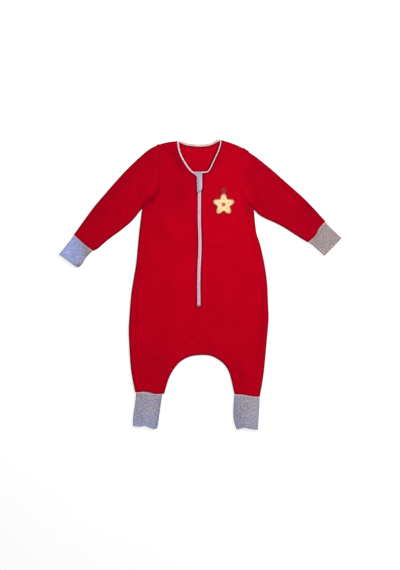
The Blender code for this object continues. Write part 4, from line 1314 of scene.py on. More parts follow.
def cuffPiece(name, sizes):
    shape = cuffShape
    pair = np.hstack([atShares(smoothLine(sizes[key], 3.0), np.linspace(0.0, 1.0, 40))
                      for key in ("first", "second")])
    long = runLengths((pair[:, :2] + pair[:, 2:]) / 2)[-1]
    widest = np.linalg.norm(pair[:, :2] - pair[:, 2:], axis=1).max()
    count = int(2 * widest / shape["rib"]) * shape["perRib"]
    turn = np.arange(count) / shape["perRib"]
    groove = 1.0 - np.abs(np.sin(math.pi * turn)) ** 0.7
    hem = sizes["hem"]
    hemFirst, hemSecond = lines[hem][0], lines[hem][-1]
    hemRun = hemSecond - hemFirst
    end = np.array(sizes["end"])
    rings, places, others, shades = [], [], [], []
    for s, depth in cuffStations(long):
        outside = depth < shape["wall"] / 2
        one, two, ahead = cuffRow(pair, s / long)
        width = np.linalg.norm(two - one)
        points, out = cuffSection(width / 2, depth, count)
        inside = min(max(0.0, 1.0 - s / shape["seamReach"]), 1.0)
        dip = shape["seamDip"] * (1.0 - math.sqrt(1.0 - inside**2)) * outside
        ribs = 1.0 - shape["drawnIn"] * (1.0 - min(s / shape["drawnReach"], 1.0))
        points = points - out * (shape["depth"] * ribs * groove + dip)[:, None]
        plan = (one + two) / 2 - (two - one) / width * points[:, :1]
        share = np.clip(0.5 - points[:, 0] / width, 0.0, 1.0)
        along = np.clip((plan - hemFirst) @ hemRun / (hemRun @ hemRun), 0.0, 1.0)
        shift = hemShift(hem, hemFirst, hemSecond, along) * math.exp(-max(s, 0.0) / bow["reach"])
        reach = np.interp(share, end[:, 0], end[:, 1]) * (s / long) ** 3 + min(s, 0.0)
        plan = plan + shift + ahead * reach[:, None]
        top = np.clip(points[:, 1] / shape["height"] * 2.0, 0.0, 1.0)
        soft = waveAt(plan, "cuffBroad") + waveAt(plan, "cuffFine") + cuffCreases(sizes, s, share, width)
        level = shape["height"] / 2 + points[:, 1] + top * soft
        rings.append(np.column_stack([plan, np.maximum(level, 0.0 if outside else shape["wall"])]))
        places.append(np.column_stack([turn * shape["rib"], np.full(count, s if outside else 2 * long - s)]))
        others.append(otherTone(sizes, plan, share, s / long))
        side = np.minimum(share, 1.0 - share) * width
        shades.append(cuffShade(sizes, plan, side, min(s, long - s) if outside else 0.0))
    piece = ringMesh(name, np.array(rings), np.array(places))
    setValues(piece, "other", np.concatenate(others))
    setValues(piece, "shade", np.concatenate(shades))
    settle(piece, ribLook(name + "Rib", sizes), "grey_rib", sizes["node"])
    return piece


report("cuffs", [cuffPiece(name + "Cuff", sizes) for name, sizes in cuffs.items()])


def bindingLook(name, dark, bright):
    look = Look(name, Specular_IOR_Level=0.15, Sheen_Weight=0.1, Sheen_Roughness=0.5)
    knit = knitHeight(look, 0.9, 0.75)
    fibre = look.cloud(look.uv(), 0.0012, 2.0, 0.6)
    slow = look.cloud(look.uv(), 0.012, 2.0)
    body = look.ramp(fibre * 0.4 + slow * 0.45 + knit * 0.15, (0.32, dark), (0.68, bright))
    # the shade value paints shade into the binding
    look.colour(look.blend(look.value("shade"), body, (0.11, 0.02, 0.03)))
    look.rough(0.78 + fibre * 0.12)
    look.relief(knit * 0.7 + fibre * 0.3, 0.00018, 0.5)
    return look


def bindingGrid(path, width, out, level):
    # a strip folded round the jersey's edge; its profile runs from the top layer's edge,
    # over the fold beside the neck and back along the layer below
    half, rise, fall = width / 2, neck["rise"], neck["fall"]
    middle = (rise - fall) / 2
    profile = [(half, rise - 0.75), (half - 0.15, rise - 0.3), (half - 0.6, rise - 0.05)]
    profile += [(half * 0.45, rise + 0.05), (0.0, rise + 0.08), (-half * 0.35, rise)]
    for turn in np.linspace(0.2, 0.8, 6) * math.pi:
        across = -half + neck["roll"] - neck["roll"] * math.sin(turn)
        profile.append((across, middle + (rise - middle) * math.cos(turn)))
    profile += [(-half * 0.35, -fall), (half * 0.3, -fall), (half - 0.3, -fall), (half, 0.5 - fall)]
    profile = np.array(profile)
    inward = normals(profile) * neck["wall"]
    rows = atShares(path, np.linspace(0.0, 1.0, int(runLengths(path)[-1] / neck["step"])))
    side = normals(rows) * out
    pulled = 0.5 + 0.5 * np.cos(2 * math.pi * runLengths(rows) / neck["stitchPitch"])
    depth, reach = neck["pull"]
    layers = []
    for section in (profile, profile + inward):
        plan = rows[:, None, :] + side[:, None, :] * section[None, :, :1]
        base = level(plan.reshape(-1, 2)).reshape(plan.shape[:2])
        near = np.exp(-((section[:, 0] - (half - neck["stitchInset"])) / reach) ** 2)
        up = section[:, 1] - np.outer(pulled, near) * depth * (section[:, 1] > 0)
        layers.append(np.dstack([plan, base + up]))
    return layers


def bindingLevel(plan):  # what the binding beside a front lies on
    return np.maximum(topOf(plan), neck["lowest"])


def flatLevel(height):
    return lambda plan: np.full(len(plan), height)


bindings = {
    "right": {"node": "neck_binding_right", "flat": (0.0124, 0.135), "narrow": 0.0},
    "left": {"node": "neck_binding_left", "flat": (0.0100, 0.122), "narrow": 1.3},
    "back": {"node": "neck_binding_back", "flat": (0.0160, 0.112)},
}
bindingShade = {  # painted shade across each strip's profile, darkest at its edges and round its fold; only the back one shows on the side that lies down
    "front": [0.9, 0.6, 0.2, 0.0, 0.0, 0.0, 0.15, 0.4, 0.7, 0.9, 1.0, 1.0, 1.0, 1.0, 1.0, 1.0],
    "back": [0.9, 0.6, 0.2, 0.0, 0.0, 0.0, 0.15, 0.4, 0.7, 0.8, 0.5, 0.2, 0.0, 0.0, 0.3, 0.7],
}
paleBinding = bindingLook("paleBinding", (0.56, 0.27, 0.32), (0.84, 0.44, 0.49))
beigeBinding = bindingLook("beigeBinding", (0.36, 0.24, 0.23), (0.64, 0.43, 0.41))


def neckBinding(side, sizes):
    if side == "back":
        grid = bindingGrid(lines["backNeck"], neck["backWidth"], -1.0, flatLevel(neck["fall"]))
        look, slot, shade = beigeBinding, "beige_binding", bindingShade["back"]
    else:
        width = neck["width"] - sizes["narrow"]
        grid = bindingGrid(lines[side + "Neck"], width, sides[side], bindingLevel)
        look, slot, shade = paleBinding, "pale_binding", bindingShade["front"]
    piece = wallMesh(f"{side}NeckBinding", [grid])
    setValues(piece, "shade", np.tile(shade, 2 * len(grid[0])))
    settle(piece, look, slot, sizes["node"])
    return piece


report("neck bindings", [neckBinding(side, sizes) for side, sizes in bindings.items()])


def threadLook(name, dark, bright):
    look = Look(name, Specular_IOR_Level=0.25, Roughness=0.55)
    fibre = look.cloud(look.place(), 0.0005, 2.0, 0.6)
    look.colour(look.ramp(fibre, (0.3, dark), (0.7, bright)))
    look.relief(fibre, 0.00008, 0.5)
    return look


def begin(kind, **settings):  # a primitive, with nothing else selected
    bpy.ops.object.select_all(action="DESELECT")
    getattr(bpy.ops.mesh, f"primitive_{kind}_add")(**settings)
    bpy.ops.object.transform_apply(location=False, rotation=True, scale=True)
    bpy.ops.object.mode_set(mode="EDIT")
    bpy.ops.mesh.select_all(action="DESELECT")
    return bpy.context.object


def choose(piece, kind, test):  # faces, edges or verts that pass the test
    bpy.ops.mesh.select_mode(type={"faces": "FACE", "edges": "EDGE", "verts": "VERT"}[kind])
    bpy.ops.mesh.select_all(action="DESELECT")
    shape = bmesh.from_edit_mesh(piece.data)
    shape.normal_update()
    for part in getattr(shape, kind):
        part.select_set(bool(test(part)))
    bmesh.update_edit_mesh(piece.data)


def bevelEdges(width, segments=3):
    bpy.ops.mesh.bevel(offset=width * mm, segments=segments, affect="EDGES")


def complete(piece, name):
    bpy.ops.object.mode_set(mode="OBJECT")
    bpy.ops.object.transform_apply(location=True, rotation=True, scale=True)
    piece.name = name
    piece.data.name = name
    smoothShade(piece, 35.0)
    return piece


def boxOf(node):  # the middle and the size of a node, in metres
    low, high = (np.array(corner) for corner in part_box(node))
    return (low + high) / 2, high - low


def seedMesh(piece):
    # points and faces of a modelled seed, which then goes; sorted, because a sphere's
    # faces come in a different order each time
    points = np.array([vertex.co for vertex in piece.data.vertices])
    order = np.lexsort(points.T)
    rank = np.argsort(order)
    faces = sorted(tuple(int(rank[v]) for v in face.vertices) for face in piece.data.polygons)
    bpy.data.objects.remove(piece)
    return points[order], faces


def scatter(name, seed, places, turns):  # one mesh of copies; turns are 3 by 3 matrices
    points, faces = seed
    copies = [(turn @ points.T).T + place for place, turn in zip(places, turns)]
    count = len(points)
    copied = [tuple(v + count * i for v in face) for i in range(len(copies)) for face in faces]
    piece = addPiece(name, np.vstack(copies) / mm, copied)
    smoothShade(piece, 80.0)
    return piece


def stitchSeed(length, width, depth):
    # a thread's visible length: a rounded bead whose ends sink into the cloth
    piece = begin("uv_sphere", segments=8, ring_count=6, radius=1.0, rotation=(0.0, math.pi / 2, 0.0))
    bpy.ops.mesh.select_all(action="SELECT")
    bpy.ops.transform.resize(value=(length * mm / 2, width * mm / 2, depth * mm / 2))
    choose(piece, "verts", lambda v: abs(v.co.x) > length * mm * 0.42)
    bpy.ops.transform.translate(value=(0.0, 0.0, -depth * mm * 0.45))
    return seedMesh(complete(piece, "stitchSeed"))


def stitchRow(name, line, pitch, seed, level):
    # stitches along a line of the plan, lying on the height that level gives
    long = runLengths(line)[-1]
    count = int(long / pitch)
    marks = (np.arange(count) + 0.5) / count
    half = 0.3 * pitch / long
    ahead, behind = atShares(line, marks + half), atShares(line, marks - half)
    front, rear = level(ahead), level(behind)
    places, turns = [], []
    for a, b, high, low in zip(ahead, behind, front, rear):
        run = np.array([a[0] - b[0], a[1] - b[1], high - low])
        run /= np.linalg.norm(run)
        side = np.cross([0.0, 0.0, 1.0], run)
        side /= np.linalg.norm(side)
        turns.append(np.stack([run, side, np.cross(run, side)], axis=1))
        places.append(np.array([(a[0] + b[0]) / 2, (a[1] + b[1]) / 2, (high + low) / 2]) * mm)
    return scatter(name, seed, places, turns)


zipSizes = {
    "tapeAcross": [0.15, 0.5, 1.6, 2.8, 4.4, 6.0, 7.8, 9.4, 10.4, 10.9],
    "tapeHead": 5.0,  # how far below the zip's top the tapes begin
    "tapeEnd": -59.4,
    "sag": 0.10,
    "drop": 1.2,  # of their outer parts under the fronts
    "flat": (0.0108, 0.358),
    "toothPitch": 1.25,
    "toothLength": 2.5,
    "toothWidth": 0.95,
    "toothHeight": 1.5,
    "toothOffset": 0.85,  # of each row from the middle
    "toothLean": 0.12,
    "seamOffset": 2.9,  # of the thread that holds the coil
    "seamTop": 246.0,
    "seamPitch": 2.6,
    "edgeStitch": 2.3,  # from the front's edge to its stitching
    "stitchTop": 288.0,
    "stitchPitch": 3.2,
    "lift": 1.0,  # of the coil and the stop, so that they lie on the tapes
}


def tapeLook():
    look = Look("zipTape", Specular_IOR_Level=0.2)
    u, v, _ = look.split(look.uv())
    zig = abs((u / (2.6 * mm)).maths("FRACT") - 0.5) * 1.6
    twill = ((v / (0.8 * mm) + zig) * (2 * math.pi)).maths("SINE") * 0.5 + 0.5
    fibre = look.cloud(look.uv(), 0.0008, 2.0, 0.6)
    look.colour(look.ramp(twill * 0.3 + fibre * 0.5, (0.2, (0.80, 0.52, 0.60)), (0.6, (0.97, 0.72, 0.78))))
    look.rough(0.7 + fibre * 0.15)
    look.relief(twill * 0.7 + fibre * 0.4, 0.00018, 0.6)
    return look


def coilLook():
    look = Look("zipCoil", Specular_IOR_Level=0.35)
    grain = look.cloud(look.place(), 0.0015, 2.0)
    look.colour(look.ramp(grain, (0.3, (0.46, 0.28, 0.36)), (0.7, (0.70, 0.49, 0.58))))
    look.rough(0.38 + grain * 0.2)
    look.relief(grain, 0.00005, 0.4)
    return look


def zipTape(side, out):
    levels = np.linspace(zipFit["top"] - zipSizes["tapeHead"], zipSizes["tapeEnd"], 110)
    across = np.array(zipSizes["tapeAcross"])
    plan = np.array([[(x + out * a, y) for a in across] for x, y in zip(middleAt(levels), levels)])
    sag = zipSizes["sag"] * np.sin(plan[:, :, 1] / 11.0) * (across > 2.8)
    drop = zipSizes["drop"] * np.clip((across - 4.0) / 3.0, 0.0, 1.0)
    top = zipFit["tapeTop"] + np.minimum(sag, 0.0) - drop
    over = np.dstack([plan, top])
    under = np.dstack([plan, top - zipFit["tapeThickness"]])
    piece = wallMesh(f"{side}ZipTape", [(over, under)])
    settle(piece, tapeFinish, "zip_tape", f"zip_tape_{side}")
    return piece


def coilTeeth():
    # two rows of nylon loops that mesh at the middle
    middle, size = boxOf("zip_chain")
    top, low = (middle[1] + size[1] / 2) / mm, (middle[1] - size[1] / 2) / mm
    piece = begin("uv_sphere", segments=8, ring_count=6, radius=1.0, rotation=(0.0, math.pi / 2, 0.0))
    bpy.ops.mesh.select_all(action="SELECT")
    sizes = (zipSizes["toothLength"], zipSizes["toothWidth"], zipSizes["toothHeight"])
    bpy.ops.transform.resize(value=tuple(s * mm / 2 for s in sizes))
    choose(piece, "verts", lambda v: abs(v.co.x) < sizes[0] * mm * 0.4)
    bpy.ops.transform.resize(value=(1.25, 1.0, 1.0))
    seed = seedMesh(complete(piece, "toothSeed"))
    places, turns = [], []
    pitch = zipSizes["toothPitch"]
    count = int((top - low - pitch) / pitch)
    for out, shift in ((-1.0, 0.0), (1.0, 0.5)):
        lean = out * zipSizes["toothLean"]
        turn = np.array([[math.cos(lean), -math.sin(lean), 0.0], [math.sin(lean), math.cos(lean), 0.0],
                         [0.0, 0.0, 1.0]])
        for i in range(count):
            y = top - pitch * (i + 0.5 + shift)
            x = float(middleAt(y)) + out * zipSizes["toothOffset"]
            places.append(np.array([x, y, middle[2] / mm + zipSizes["lift"]]) * mm)
            turns.append(turn)
    piece = scatter("zipTeeth", seed, places, turns)
    return settle(piece, coilFinish, "zip_coil", "zip_chain")


tapeFinish, coilFinish = tapeLook(), coilLook()
report("zip", [*(zipTape(side, out) for side, out in sides.items()), coilTeeth()])
stitch = stitchSeed(2.5, 0.42, 0.42)


def zipSeams():
    # the thread beside the coil, and the stitching that holds the zip to the fronts
    tapeThread = threadLook("tapeThread", (0.66, 0.33, 0.40), (0.86, 0.52, 0.58))
    redThread = threadLook("redThread", (0.30, 0.0003, 0.008), (0.44, 0.001, 0.014))
    pieces = []
    for side, out in sides.items():
        levels = np.linspace(zipSizes["seamTop"], zipFit["end"] + zipFit["round"], 120)
        line = np.stack([middleAt(levels) + out * zipSizes["seamOffset"], levels], axis=1)
        level = flatLevel(zipFit["tapeTop"] + 0.12)
        piece = stitchRow(f"{side}CoilThread", line, zipSizes["seamPitch"], stitch, level)
        pieces.append(settle(piece, tapeThread, "zip_tape"))
        line = lines[side + "Zip"]
        line = line + normals(line) * out * zipSizes["edgeStitch"]
        line = line[(line[:, 1] < zipSizes["stitchTop"]) & (line[:, 1] > zipFit["end"] + 1.0)]
        level = lambda plan: topOf(plan) + 0.02
        piece = stitchRow(f"{side}ZipStitching", line, zipSizes["stitchPitch"], stitch, level)
        pieces.append(settle(piece, redThread, "red_jersey"))
    return pieces


report("zip threads", zipSeams())


def metalLook():
    look = Look("zipMetal", Metallic=1.0)
    grain = look.cloud(look.stretch(look.place(), (1.0, 0.2, 1.0)), 0.0004, 2.0)
    worn = look.cloud(look.place(), 0.0025, 2.0)
    look.colour(look.ramp(worn, (0.35, (0.06, 0.022, 0.02)), (0.7, (0.17, 0.07, 0.06))))
    look.rough(0.32 + grain * 0.25)
    look.relief(grain, 0.00003, 0.5)
    return look


metalSizes = {
    # where there are two for one place, how far in and how deep
    "zipStop": {"waist": 0.86, "top": (0.25, 0.25), "bevel": 0.22, "sharp": 1.0},
    "zipSlider": {
        "taper": 0.66,  # where the closed zip leaves it
        "channel": (0.55, 0.78),  # how far in, and how much shorter
        "top": (1.1, 0.25),
        "bevel": 0.28,
        "sharp": 0.9,
    },
    "zipPull": {"corner": 1.7, "middle": (0.8, 0.18), "bevel": 0.12, "sharp": 0.9},
}


def onZip(node, lift=0.0):  # where a metal piece sits on the zip's line, and its size
    place, size = boxOf(node)
    return np.array([float(middleAt(place[1] / mm)) * mm, place[1], place[2] + lift * mm]), size


def sink(sizes):  # a smaller face inside each chosen one, pressed in
    thickness, depth = sizes
    bpy.ops.mesh.inset(thickness=thickness * mm, depth=-depth * mm)


def finishMetal(piece, name, node):
    sizes = metalSizes[name]
    choose(piece, "edges", lambda e: e.calc_face_angle(0.0) > sizes["sharp"])
    bevelEdges(sizes["bevel"], 2)
    return settle(complete(piece, name), metal, "zip_metal", node)


def zipStop():
    # a crimped stop: a bevelled block with a pressed-in top and a waist at each side
    sizes = metalSizes["zipStop"]
    place, size = onZip("zip_stop", zipSizes["lift"])
    piece = begin("cube", size=1.0, location=place, scale=size)
    bpy.ops.mesh.select_all(action="SELECT")
    bpy.ops.mesh.subdivide(number_cuts=2)
    choose(piece, "verts", lambda v: abs(v.co.x) > size[0] * 0.45 and abs(v.co.y) < size[1] * 0.3)
    bpy.ops.transform.resize(value=(sizes["waist"], 1.0, 1.0))
    choose(piece, "faces", lambda f: f.normal.z > 0.9 and abs(f.calc_center_median().x) < size[0] * 0.2)
    sink(sizes["top"])
    return finishMetal(piece, "zipStop", "zip_stop")


def zipSlider():
    # the wedge of the slider, narrower where the closed zip leaves it, with its side channels
    sizes = metalSizes["zipSlider"]
    place, size = onZip("zip_slider")
    piece = begin("cube", size=1.0, location=place, scale=size)
    choose(piece, "verts", lambda v: v.co.y < 0.0)
    bpy.ops.transform.resize(value=(sizes["taper"], 1.0, 1.0))
    choose(piece, "faces", lambda f: abs(f.normal.x) > 0.9)
    inset, shorter = sizes["channel"]
    bpy.ops.mesh.inset(thickness=inset * mm)
    bpy.ops.transform.resize(value=(shorter, 1.0, 1.0))
    choose(piece, "faces", lambda f: f.normal.z > 0.9)
    sink(sizes["top"])
    return finishMetal(piece, "zipSlider", "zip_slider")


def zipPull():
    # a thin tab with rounded ends and a sunk middle
    sizes = metalSizes["zipPull"]
    place, size = onZip("zip_pull")
    piece = begin("cube", size=1.0, location=place, scale=size)
    choose(piece, "edges", lambda e: abs((e.verts[0].co - e.verts[1].co).z) > size[2] * 0.5)
    bevelEdges(sizes["corner"], 4)
    choose(piece, "faces", lambda f: abs(f.normal.z) > 0.9)
    sink(sizes["middle"])
    return finishMetal(piece, "zipPull", "zip_pull")


metal = metalLook()
report("zip metal", [zipStop(), zipSlider(), zipPull()])


tab = {
    "rest": [7.6, 7.6, 7.2, 6.9, 6.8, 6.8],  # height of its underside, from the top end down
    "rise": 2.4,
    "thickness": 1.2,
    "hem": 2.3,  # width of the folded edges
    "endHem": 2.6,
    "hemRise": 0.35,
    "soft": 0.22,
    "endShadow": (0.75, 2.4, 0.35),  # painted shadow at its lower end: how dark, how far in, how soft
    "leaning": 0.30,  # painted shade towards the wearer's left, near its top end, where it folds
    "stitchPitch": 2.4,
    "width": 15.0,  # across which its pattern is drawn
    "flat": (0.0240, 0.056),
}


def tabLook():
    # melange between paler folded edges
    look = Look("coverTab", Specular_IOR_Level=0.12, Sheen_Weight=0.1, Sheen_Roughness=0.5)
    knit = knitHeight(look, 0.95, 0.8)
    u, v, _ = look.split(look.uv())
    fibre = look.cloud(look.stretch(look.uv(), (1.0, 0.4, 1.0)), 0.0008, 3.0, 0.7)
    fleck = look.cloud(look.uv(), 0.0026, 2.0, 0.6)
    tone = fibre * 0.30 + fleck * 0.60 + knit * 0.10
    body = look.ramp(tone, (0.36, (0.16, 0.14, 0.19)), (0.64, (0.50, 0.44, 0.54)))
    hems = look.ramp(tone, (0.36, (0.34, 0.22, 0.29)), (0.64, (0.74, 0.56, 0.65)))
    side = abs(u / (tab["width"] * mm) - 0.5)
    edge = (side - (0.5 - tab["hem"] / tab["width"])) * 60.0
    ends = 1.0 - v / (1.6 * mm)
    mask = edge.maths("MAXIMUM", ends * 3.0).clamped()
    # the shade value paints a shadow at its lower end and shade near its top
    look.colour(look.blend(look.value("shade"), look.blend(mask, body, hems), (0.06, 0.03, 0.045)))
    look.rough(0.8 + fibre * 0.12)
    look.relief(knit * 0.7 + fibre * 0.5, 0.0002, 0.55)
    return look


def tabGrid():
    table = np.column_stack([outlines["rightTab"], outlines["leftTab"], tab["rest"]])
    rows = smoothLine(table, 1.2)
    along = runLengths(rows[:, :2])
    shares = np.linspace(0.0, 1.0, 27)
    across = rows[:, None, :2] + (rows[:, None, 2:4] - rows[:, None, :2]) * shares[None, :, None]
    width = np.linalg.norm(rows[:, 2:4] - rows[:, :2], axis=1)[:, None]
    inside = np.minimum(shares, 1.0 - shares)[None, :] * width
    hem = 1.0 / (1.0 + np.exp((inside - tab["hem"]) / 0.16))
    near = np.minimum(inside, 1.0)
    end = np.minimum(along, along[-1] - along)[:, None]
    rounded = 0.5 * (1.0 - np.sqrt(1.0 - (1.0 - near) ** 2)) + 0.5 * (1 - np.minimum(end, 1.0)) ** 2
    lift = rows[:, 4:5] + tab["rise"] * np.sin(np.pi * shares)[None, :] ** 0.7
    soft = wander(across.reshape(-1, 2), 7.0, 4.4).reshape(lift.shape) * tab["soft"]
    endFold = tab["hemRise"] / (1.0 + np.exp((end - tab["endHem"]) / 0.2))
    top = lift + tab["thickness"] + np.maximum(hem * tab["hemRise"], endFold) + soft - rounded
    places = uvGrid(shares * tab["width"], along)
    dark, reach, ease = tab["endShadow"]
    endShadow = dark / (1.0 + np.exp((along[-1] - along - reach) / ease))[:, None]
    leaning = tab["leaning"] * np.clip(shares * 2.0 - 0.7, 0.0, 1.0)
    leaning = leaning * np.clip(1.3 - along / 24.0, 0.0, 1.0)[:, None]
    shade = np.maximum(endShadow, leaning)
    return np.dstack([across, top]), np.dstack([across, lift + soft * 0.5]), places, shade


def coverTab():
    over, under, places, shade = tabGrid()
    piece = wallMesh("coverTab", [(over, under)])
    setValues(piece, "shade", np.tile(shade.ravel(), 2))
    setWallUv(piece, places)
    settle(piece, tabLook(), "cover_tab", "zip_garage")
    return piece, over


tabPiece, tabTop = coverTab()


def nearestIndex(plan, line):
    return np.linalg.norm(plan[:, None, :] - line[None, :, :], axis=2).argmin(axis=1)


def tabStitching():
    rows = [tabTop[2:-3, 4], tabTop[-4, 4:-4], tabTop[-3:1:-1, -5]]
    thread = threadLook("tabThread", (0.30, 0.27, 0.36), (0.55, 0.50, 0.60))
    pieces = []
    for number, row in enumerate(rows):
        level = lambda plan, row=row: row[nearestIndex(plan, row[:, :2]), 2] + 0.05
        piece = stitchRow(f"tabStitching{number + 1}", row[:, :2], tab["stitchPitch"], smallStitch, level)
        pieces.append(settle(piece, thread, "cover_tab"))
    return pieces


smallStitch = stitchSeed(1.9, 0.36, 0.36)
report("cover tab", [tabPiece, *tabStitching()])


def neckStitching():
    paleThread = threadLook("paleThread", (0.72, 0.50, 0.50), (0.95, 0.76, 0.75))
    front = lambda plan: bindingLevel(plan) + neck["rise"] - neck["stitchSink"]
    back = flatLevel(neck["fall"] + neck["rise"] - neck["stitchSink"])
    rows = [(side, out, neck["width"], (0.03, 0.93), front) for side, out in sides.items()]
    rows.append(("back", -1.0, neck["backWidth"], (0.06, 0.94), back))
    pieces = []
    for side, out, width, ends, level in rows:
        path = lines["backNeck" if side == "back" else side + "Neck"]
        line = path + normals(path) * out * (width / 2 - neck["stitchInset"])
        line = atShares(line, np.linspace(*ends, 200))
        pieces.append(stitchRow(f"{side}NeckStitching", line, neck["stitchPitch"], smallStitch, level))
    return [settle(piece, paleThread, "pale_binding") for piece in pieces]


report("neck stitching", neckStitching())


def feltLook():
    # felt the colour of biscuit, browner towards its edge
    look = Look("biscuitFelt", Specular_IOR_Level=0.1, Sheen_Weight=0.15, Sheen_Roughness=0.5)
    centre = tuple(c * mm for c in patch["centre"])
    mapping = {"Vector": look.place(), "Location": (-centre[0], -centre[1], 0.0)}
    local = look.node("ShaderNodeMapping", sockets=mapping)
    x, y, _ = look.split(local)
    far = (x * x + y * y).maths("SQRT") / (patch["radius"] * mm)
    hair = look.cloud(look.place(), 0.0011, 4.0, 0.7)
    blotch = look.cloud(look.place(), 0.008, 3.0, 0.6)
    baked = look.ramp(far + blotch * 0.5, (0.55, (0.84, 0.50, 0.25)), (1.45, (0.60, 0.29, 0.11)))
    look.colour(look.blend(hair * 0.35, baked, (0.93, 0.66, 0.38)))
    look.rough(0.85 + hair * 0.1)
    look.relief(hair, 0.0004, 0.5)
    return look


def starBase():
    shares = np.array([0.12, 0.25, 0.4, 0.55, 0.7, 0.82, 0.9, 0.95, 0.985, 1.0])
    count = 160
    rings = [starLine(share, count) for share in shares]
    rise = patch["thickness"] + patch["dome"] * (1.0 - shares**2)
    rise[-3:] -= (0.06, 0.2, 0.5)
    layers = []
    for ring, up in zip(rings, rise):
        layers.append(np.column_stack([ring, topOf(ring) + patch["gap"] + up]))
    for ring in (rings[-1], rings[-4], rings[0]):
        layers.append(np.column_stack([ring, topOf(ring) + patch["gap"]]))
    points = np.vstack(layers)
    faces = [tuple(range(count)), tuple(range(len(points) - count, len(points)))]
    for ring in range(len(layers) - 1):
        for i in range(count):
            j = (i + 1) % count
            faces.append((ring * count + i, ring * count + j, (ring + 1) * count + j, (ring + 1) * count + i))
    piece = addPiece("starPatch", points, faces)
    settle(piece, feltLook(), "patch_cloth", "chest_patch")
    return piece


def sweptLoop(name, path, section):
    # a closed band along a closed line; section(share) gives points across and up
    side = outwards(path)
    base = topOf(path) + patch["gap"]
    rings = []
    for i, place in enumerate(path):
        across, up = section(i / len(path))
        plan = place + side[i] * across[:, None]
        rings.append(np.column_stack([plan, base[i] + up]))
    places = uvGrid(np.arange(len(rings[0])) * 0.5, runLengths(path))
    return ringMesh(name, np.array(rings), places)


def satinBorder():
    count = int(185.0 / patch["ridge"]) * 4
    path = starLine(1.0, count, 0.9)
    turns, _ = circle(12)

    def section(share):
        ridge = 0.86 + 0.14 * abs(math.sin(math.pi * share * count / 4))
        across = np.cos(turns) * patch["borderWidth"] / 2
        up = patch["borderHeight"] / 2 + np.sin(turns) * patch["borderHeight"] / 2 * ridge
        return across, up + 0.05

    piece = sweptLoop("satinBorder", path, section)
    thread = threadLook("brownThread", (0.22, 0.075, 0.03), (0.40, 0.17, 0.075))
    return settle(piece, thread, "patch_cloth")


def icingLine():
    turns, spokes = circle(800)
    path = starLine(patch["icingShare"], len(turns))
    path = path + spokes * (patch["icingSwing"] * np.sin(patch["icingWaves"] * turns))[:, None]
    turns, _ = circle(8)
    lift = patch["thickness"] + patch["dome"] * (1 - patch["icingShare"] ** 2)

    def section(share):
        radius = patch["icingRadius"] * (0.92 + 0.08 * math.sin(2 * math.pi * share * 160))
        return np.cos(turns) * radius, lift + radius * 0.5 + np.sin(turns) * radius * 0.8

    piece = sweptLoop("icingLine", path, section)
    thread = threadLook("creamThread", (0.78, 0.68, 0.52), (0.95, 0.90, 0.78))
    return settle(piece, thread, "patch_cloth")


def buttonLook():
    look = Look("redButton", Specular_IOR_Level=0.3, Coat_Roughness=0.2, Coat_Weight=0.12)
    swirl = look.cloud(look.place(), 0.003, 3.0)
    look.colour(look.ramp(swirl, (0.3, (0.36, 0.002, 0.006)), (0.7, (0.47, 0.004, 0.010))))
    look.rough(0.25 + swirl * 0.15)
    look.relief(swirl, 0.00004, 0.4)
    return look


def starButton():
    # a turned button: a raised rim round a dish, sewn on by two bars of thread
    centre = patch["centre"]
    radius, high = patch["buttonRadius"], patch["buttonHeight"]
    base = topOf([centre])[0] + patch["gap"] + patch["thickness"] + patch["dome"] + 0.05
    place = (centre[0] * mm, centre[1] * mm, (base + high / 2) * mm)
    piece = begin("cylinder", vertices=40, radius=radius * mm, depth=high * mm, location=place)
    choose(piece, "faces", lambda f: f.normal.z > 0.9)
    bpy.ops.mesh.inset(thickness=patch["buttonRim"] * mm)
    sink(patch["buttonStep"])
    sink(patch["buttonDish"])
    choose(piece, "edges", lambda e: e.calc_face_angle(0.0) > 0.7)
    bevelEdges(0.3, 3)
    piece = settle(complete(piece, "starButton"), buttonLook(), "patch_cloth")
    level = flatLevel(base + high - patch["buttonSink"])
    thread = threadLook("buttonThread", (0.70, 0.60, 0.45), (0.92, 0.86, 0.72))
    apart, long = patch["buttonBars"]
    bars = []
    for number, across in enumerate((-apart, apart)):
        line = np.array([(centre[0] + run, centre[1] + across) for run in (-long / 2, long / 2)])
        bar = stitchRow(f"buttonThread{number + 1}", line, long, stitch, level)
        bars.append(settle(bar, thread, "patch_cloth"))
    return [piece, *bars]


def ribbonLook():
    look = Look("brownRibbon", Specular_IOR_Level=0.25)
    u, v, _ = look.split(look.uv())
    rib = (v / (0.7 * mm) * (2 * math.pi)).maths("SINE") * 0.5 + 0.5
    fibre = look.cloud(look.uv(), 0.0007, 2.0)
    look.colour(look.ramp(rib * 0.4 + fibre * 0.5, (0.2, (0.045, 0.012, 0.009)), (0.65, (0.13, 0.045, 0.03))))
    look.rough(0.5 + fibre * 0.2)
    look.relief(rib, 0.00015, 0.6)
    return look


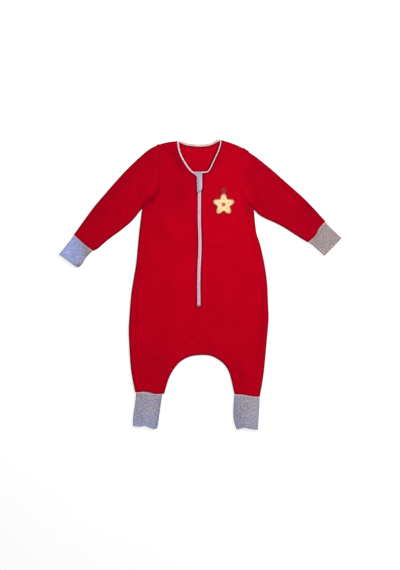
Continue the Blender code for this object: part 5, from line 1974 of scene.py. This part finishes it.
def ribbonLoop():
    # a hanging loop above the star's top point, its two ends under the star
    turns = np.linspace(0.0, 2 * math.pi, 90)
    foot = np.array(patch["centre"]) + (0.0, patch["radius"] * (1 + patch["pointDepth"]) - 3.0)
    wide, high = patch["loopWide"], patch["loopHigh"]
    path = np.stack([wide * np.sin(turns) * np.sin(turns / 2), high / 2 * (1 - np.cos(turns))], axis=1)
    path += foot
    side = normals(path)
    across = np.linspace(-0.5, 0.5, 7) * patch["ribbon"]
    plan = path[:, None, :] + side[:, None, :] * across[None, :, None]
    base = topOf(plan.reshape(-1, 2)).reshape(plan.shape[:2])
    low, high = patch["ribbonBed"]
    crossing = np.linspace(0.0, patch["ribbonLap"], len(path))[:, None]
    edge = patch["ribbonRoll"] * (np.abs(across) / across.max()) ** 4
    over = np.dstack([plan, base + high + crossing - edge])
    under = np.dstack([plan, base + low + crossing])
    piece = wallMesh("ribbonLoop", [(over, under)])
    setWallUv(piece, uvGrid(across, runLengths(path)))
    return settle(piece, ribbonLook(), "patch_cloth")


report("star patch", [starBase(), satinBorder(), icingLine(), *starButton(), ribbonLoop()])


stageSizes = {
    "centre": (-0.0012, -0.0012),
    "high": 1.539,  # of the floor that the view shows
    "level": 0.005,
    "lens": 85.0,
    "sensor": 36.0,
    "floor": 8.0,
    "floorDrop": 0.0002,
    "glow": 0.55,  # of the floor
    "sky": 0.35,
}


def floorLook():
    look = Look("paleFloor", Roughness=0.9, Specular_IOR_Level=0.1, Emission_Strength=stageSizes["glow"])
    grain = look.cloud(look.place(), 0.25, 2.0)
    look.colour(look.blend(grain, (0.42, 0.42, 0.42), (0.44, 0.44, 0.44)))
    return look


bpy.ops.object.select_all(action="DESELECT")
bpy.ops.mesh.primitive_plane_add(size=stageSizes["floor"], location=(0.0, 0.0, -stageSizes["floorDrop"]))
floor = bpy.context.object
floor.name = "floor"
floor.data.materials.append(floorLook().material)

distance = stageSizes["lens"] / stageSizes["sensor"] * stageSizes["high"]
bpy.ops.object.camera_add(location=(*stageSizes["centre"], stageSizes["level"] + distance))
camera = bpy.context.object
camera.data.lens = stageSizes["lens"]
camera.data.sensor_width = stageSizes["sensor"]
scene.camera = camera

lights = [
    # place, size, power and colour
    ("key", (1.6, 1.55, 1.45), 0.7, 72.0, (1.0, 0.985, 0.965)),
    ("overhead", (0.1, 0.35, 2.3), 1.6, 30.0, (1.0, 1.0, 1.0)),
]
for name, place, size, power, colour in lights:
    light = bpy.data.lights.new(name, "AREA")
    light.shape = "DISK"
    light.size = size
    light.energy = power
    light.color = colour
    lamp = bpy.data.objects.new(name, light)
    lamp.location = place
    lamp.rotation_mode = "QUATERNION"
    lamp.rotation_quaternion = Vector(place).to_track_quat("Z", "Y")
    scene.collection.objects.link(lamp)

world = bpy.data.worlds.new("studio")
world.use_nodes = True
background = world.node_tree.nodes["Background"]
background.inputs["Color"].default_value = (1.0, 1.0, 1.0, 1.0)
background.inputs["Strength"].default_value = stageSizes["sky"]
scene.world = world
scene.view_settings.view_transform = "Standard"
print("stage set")
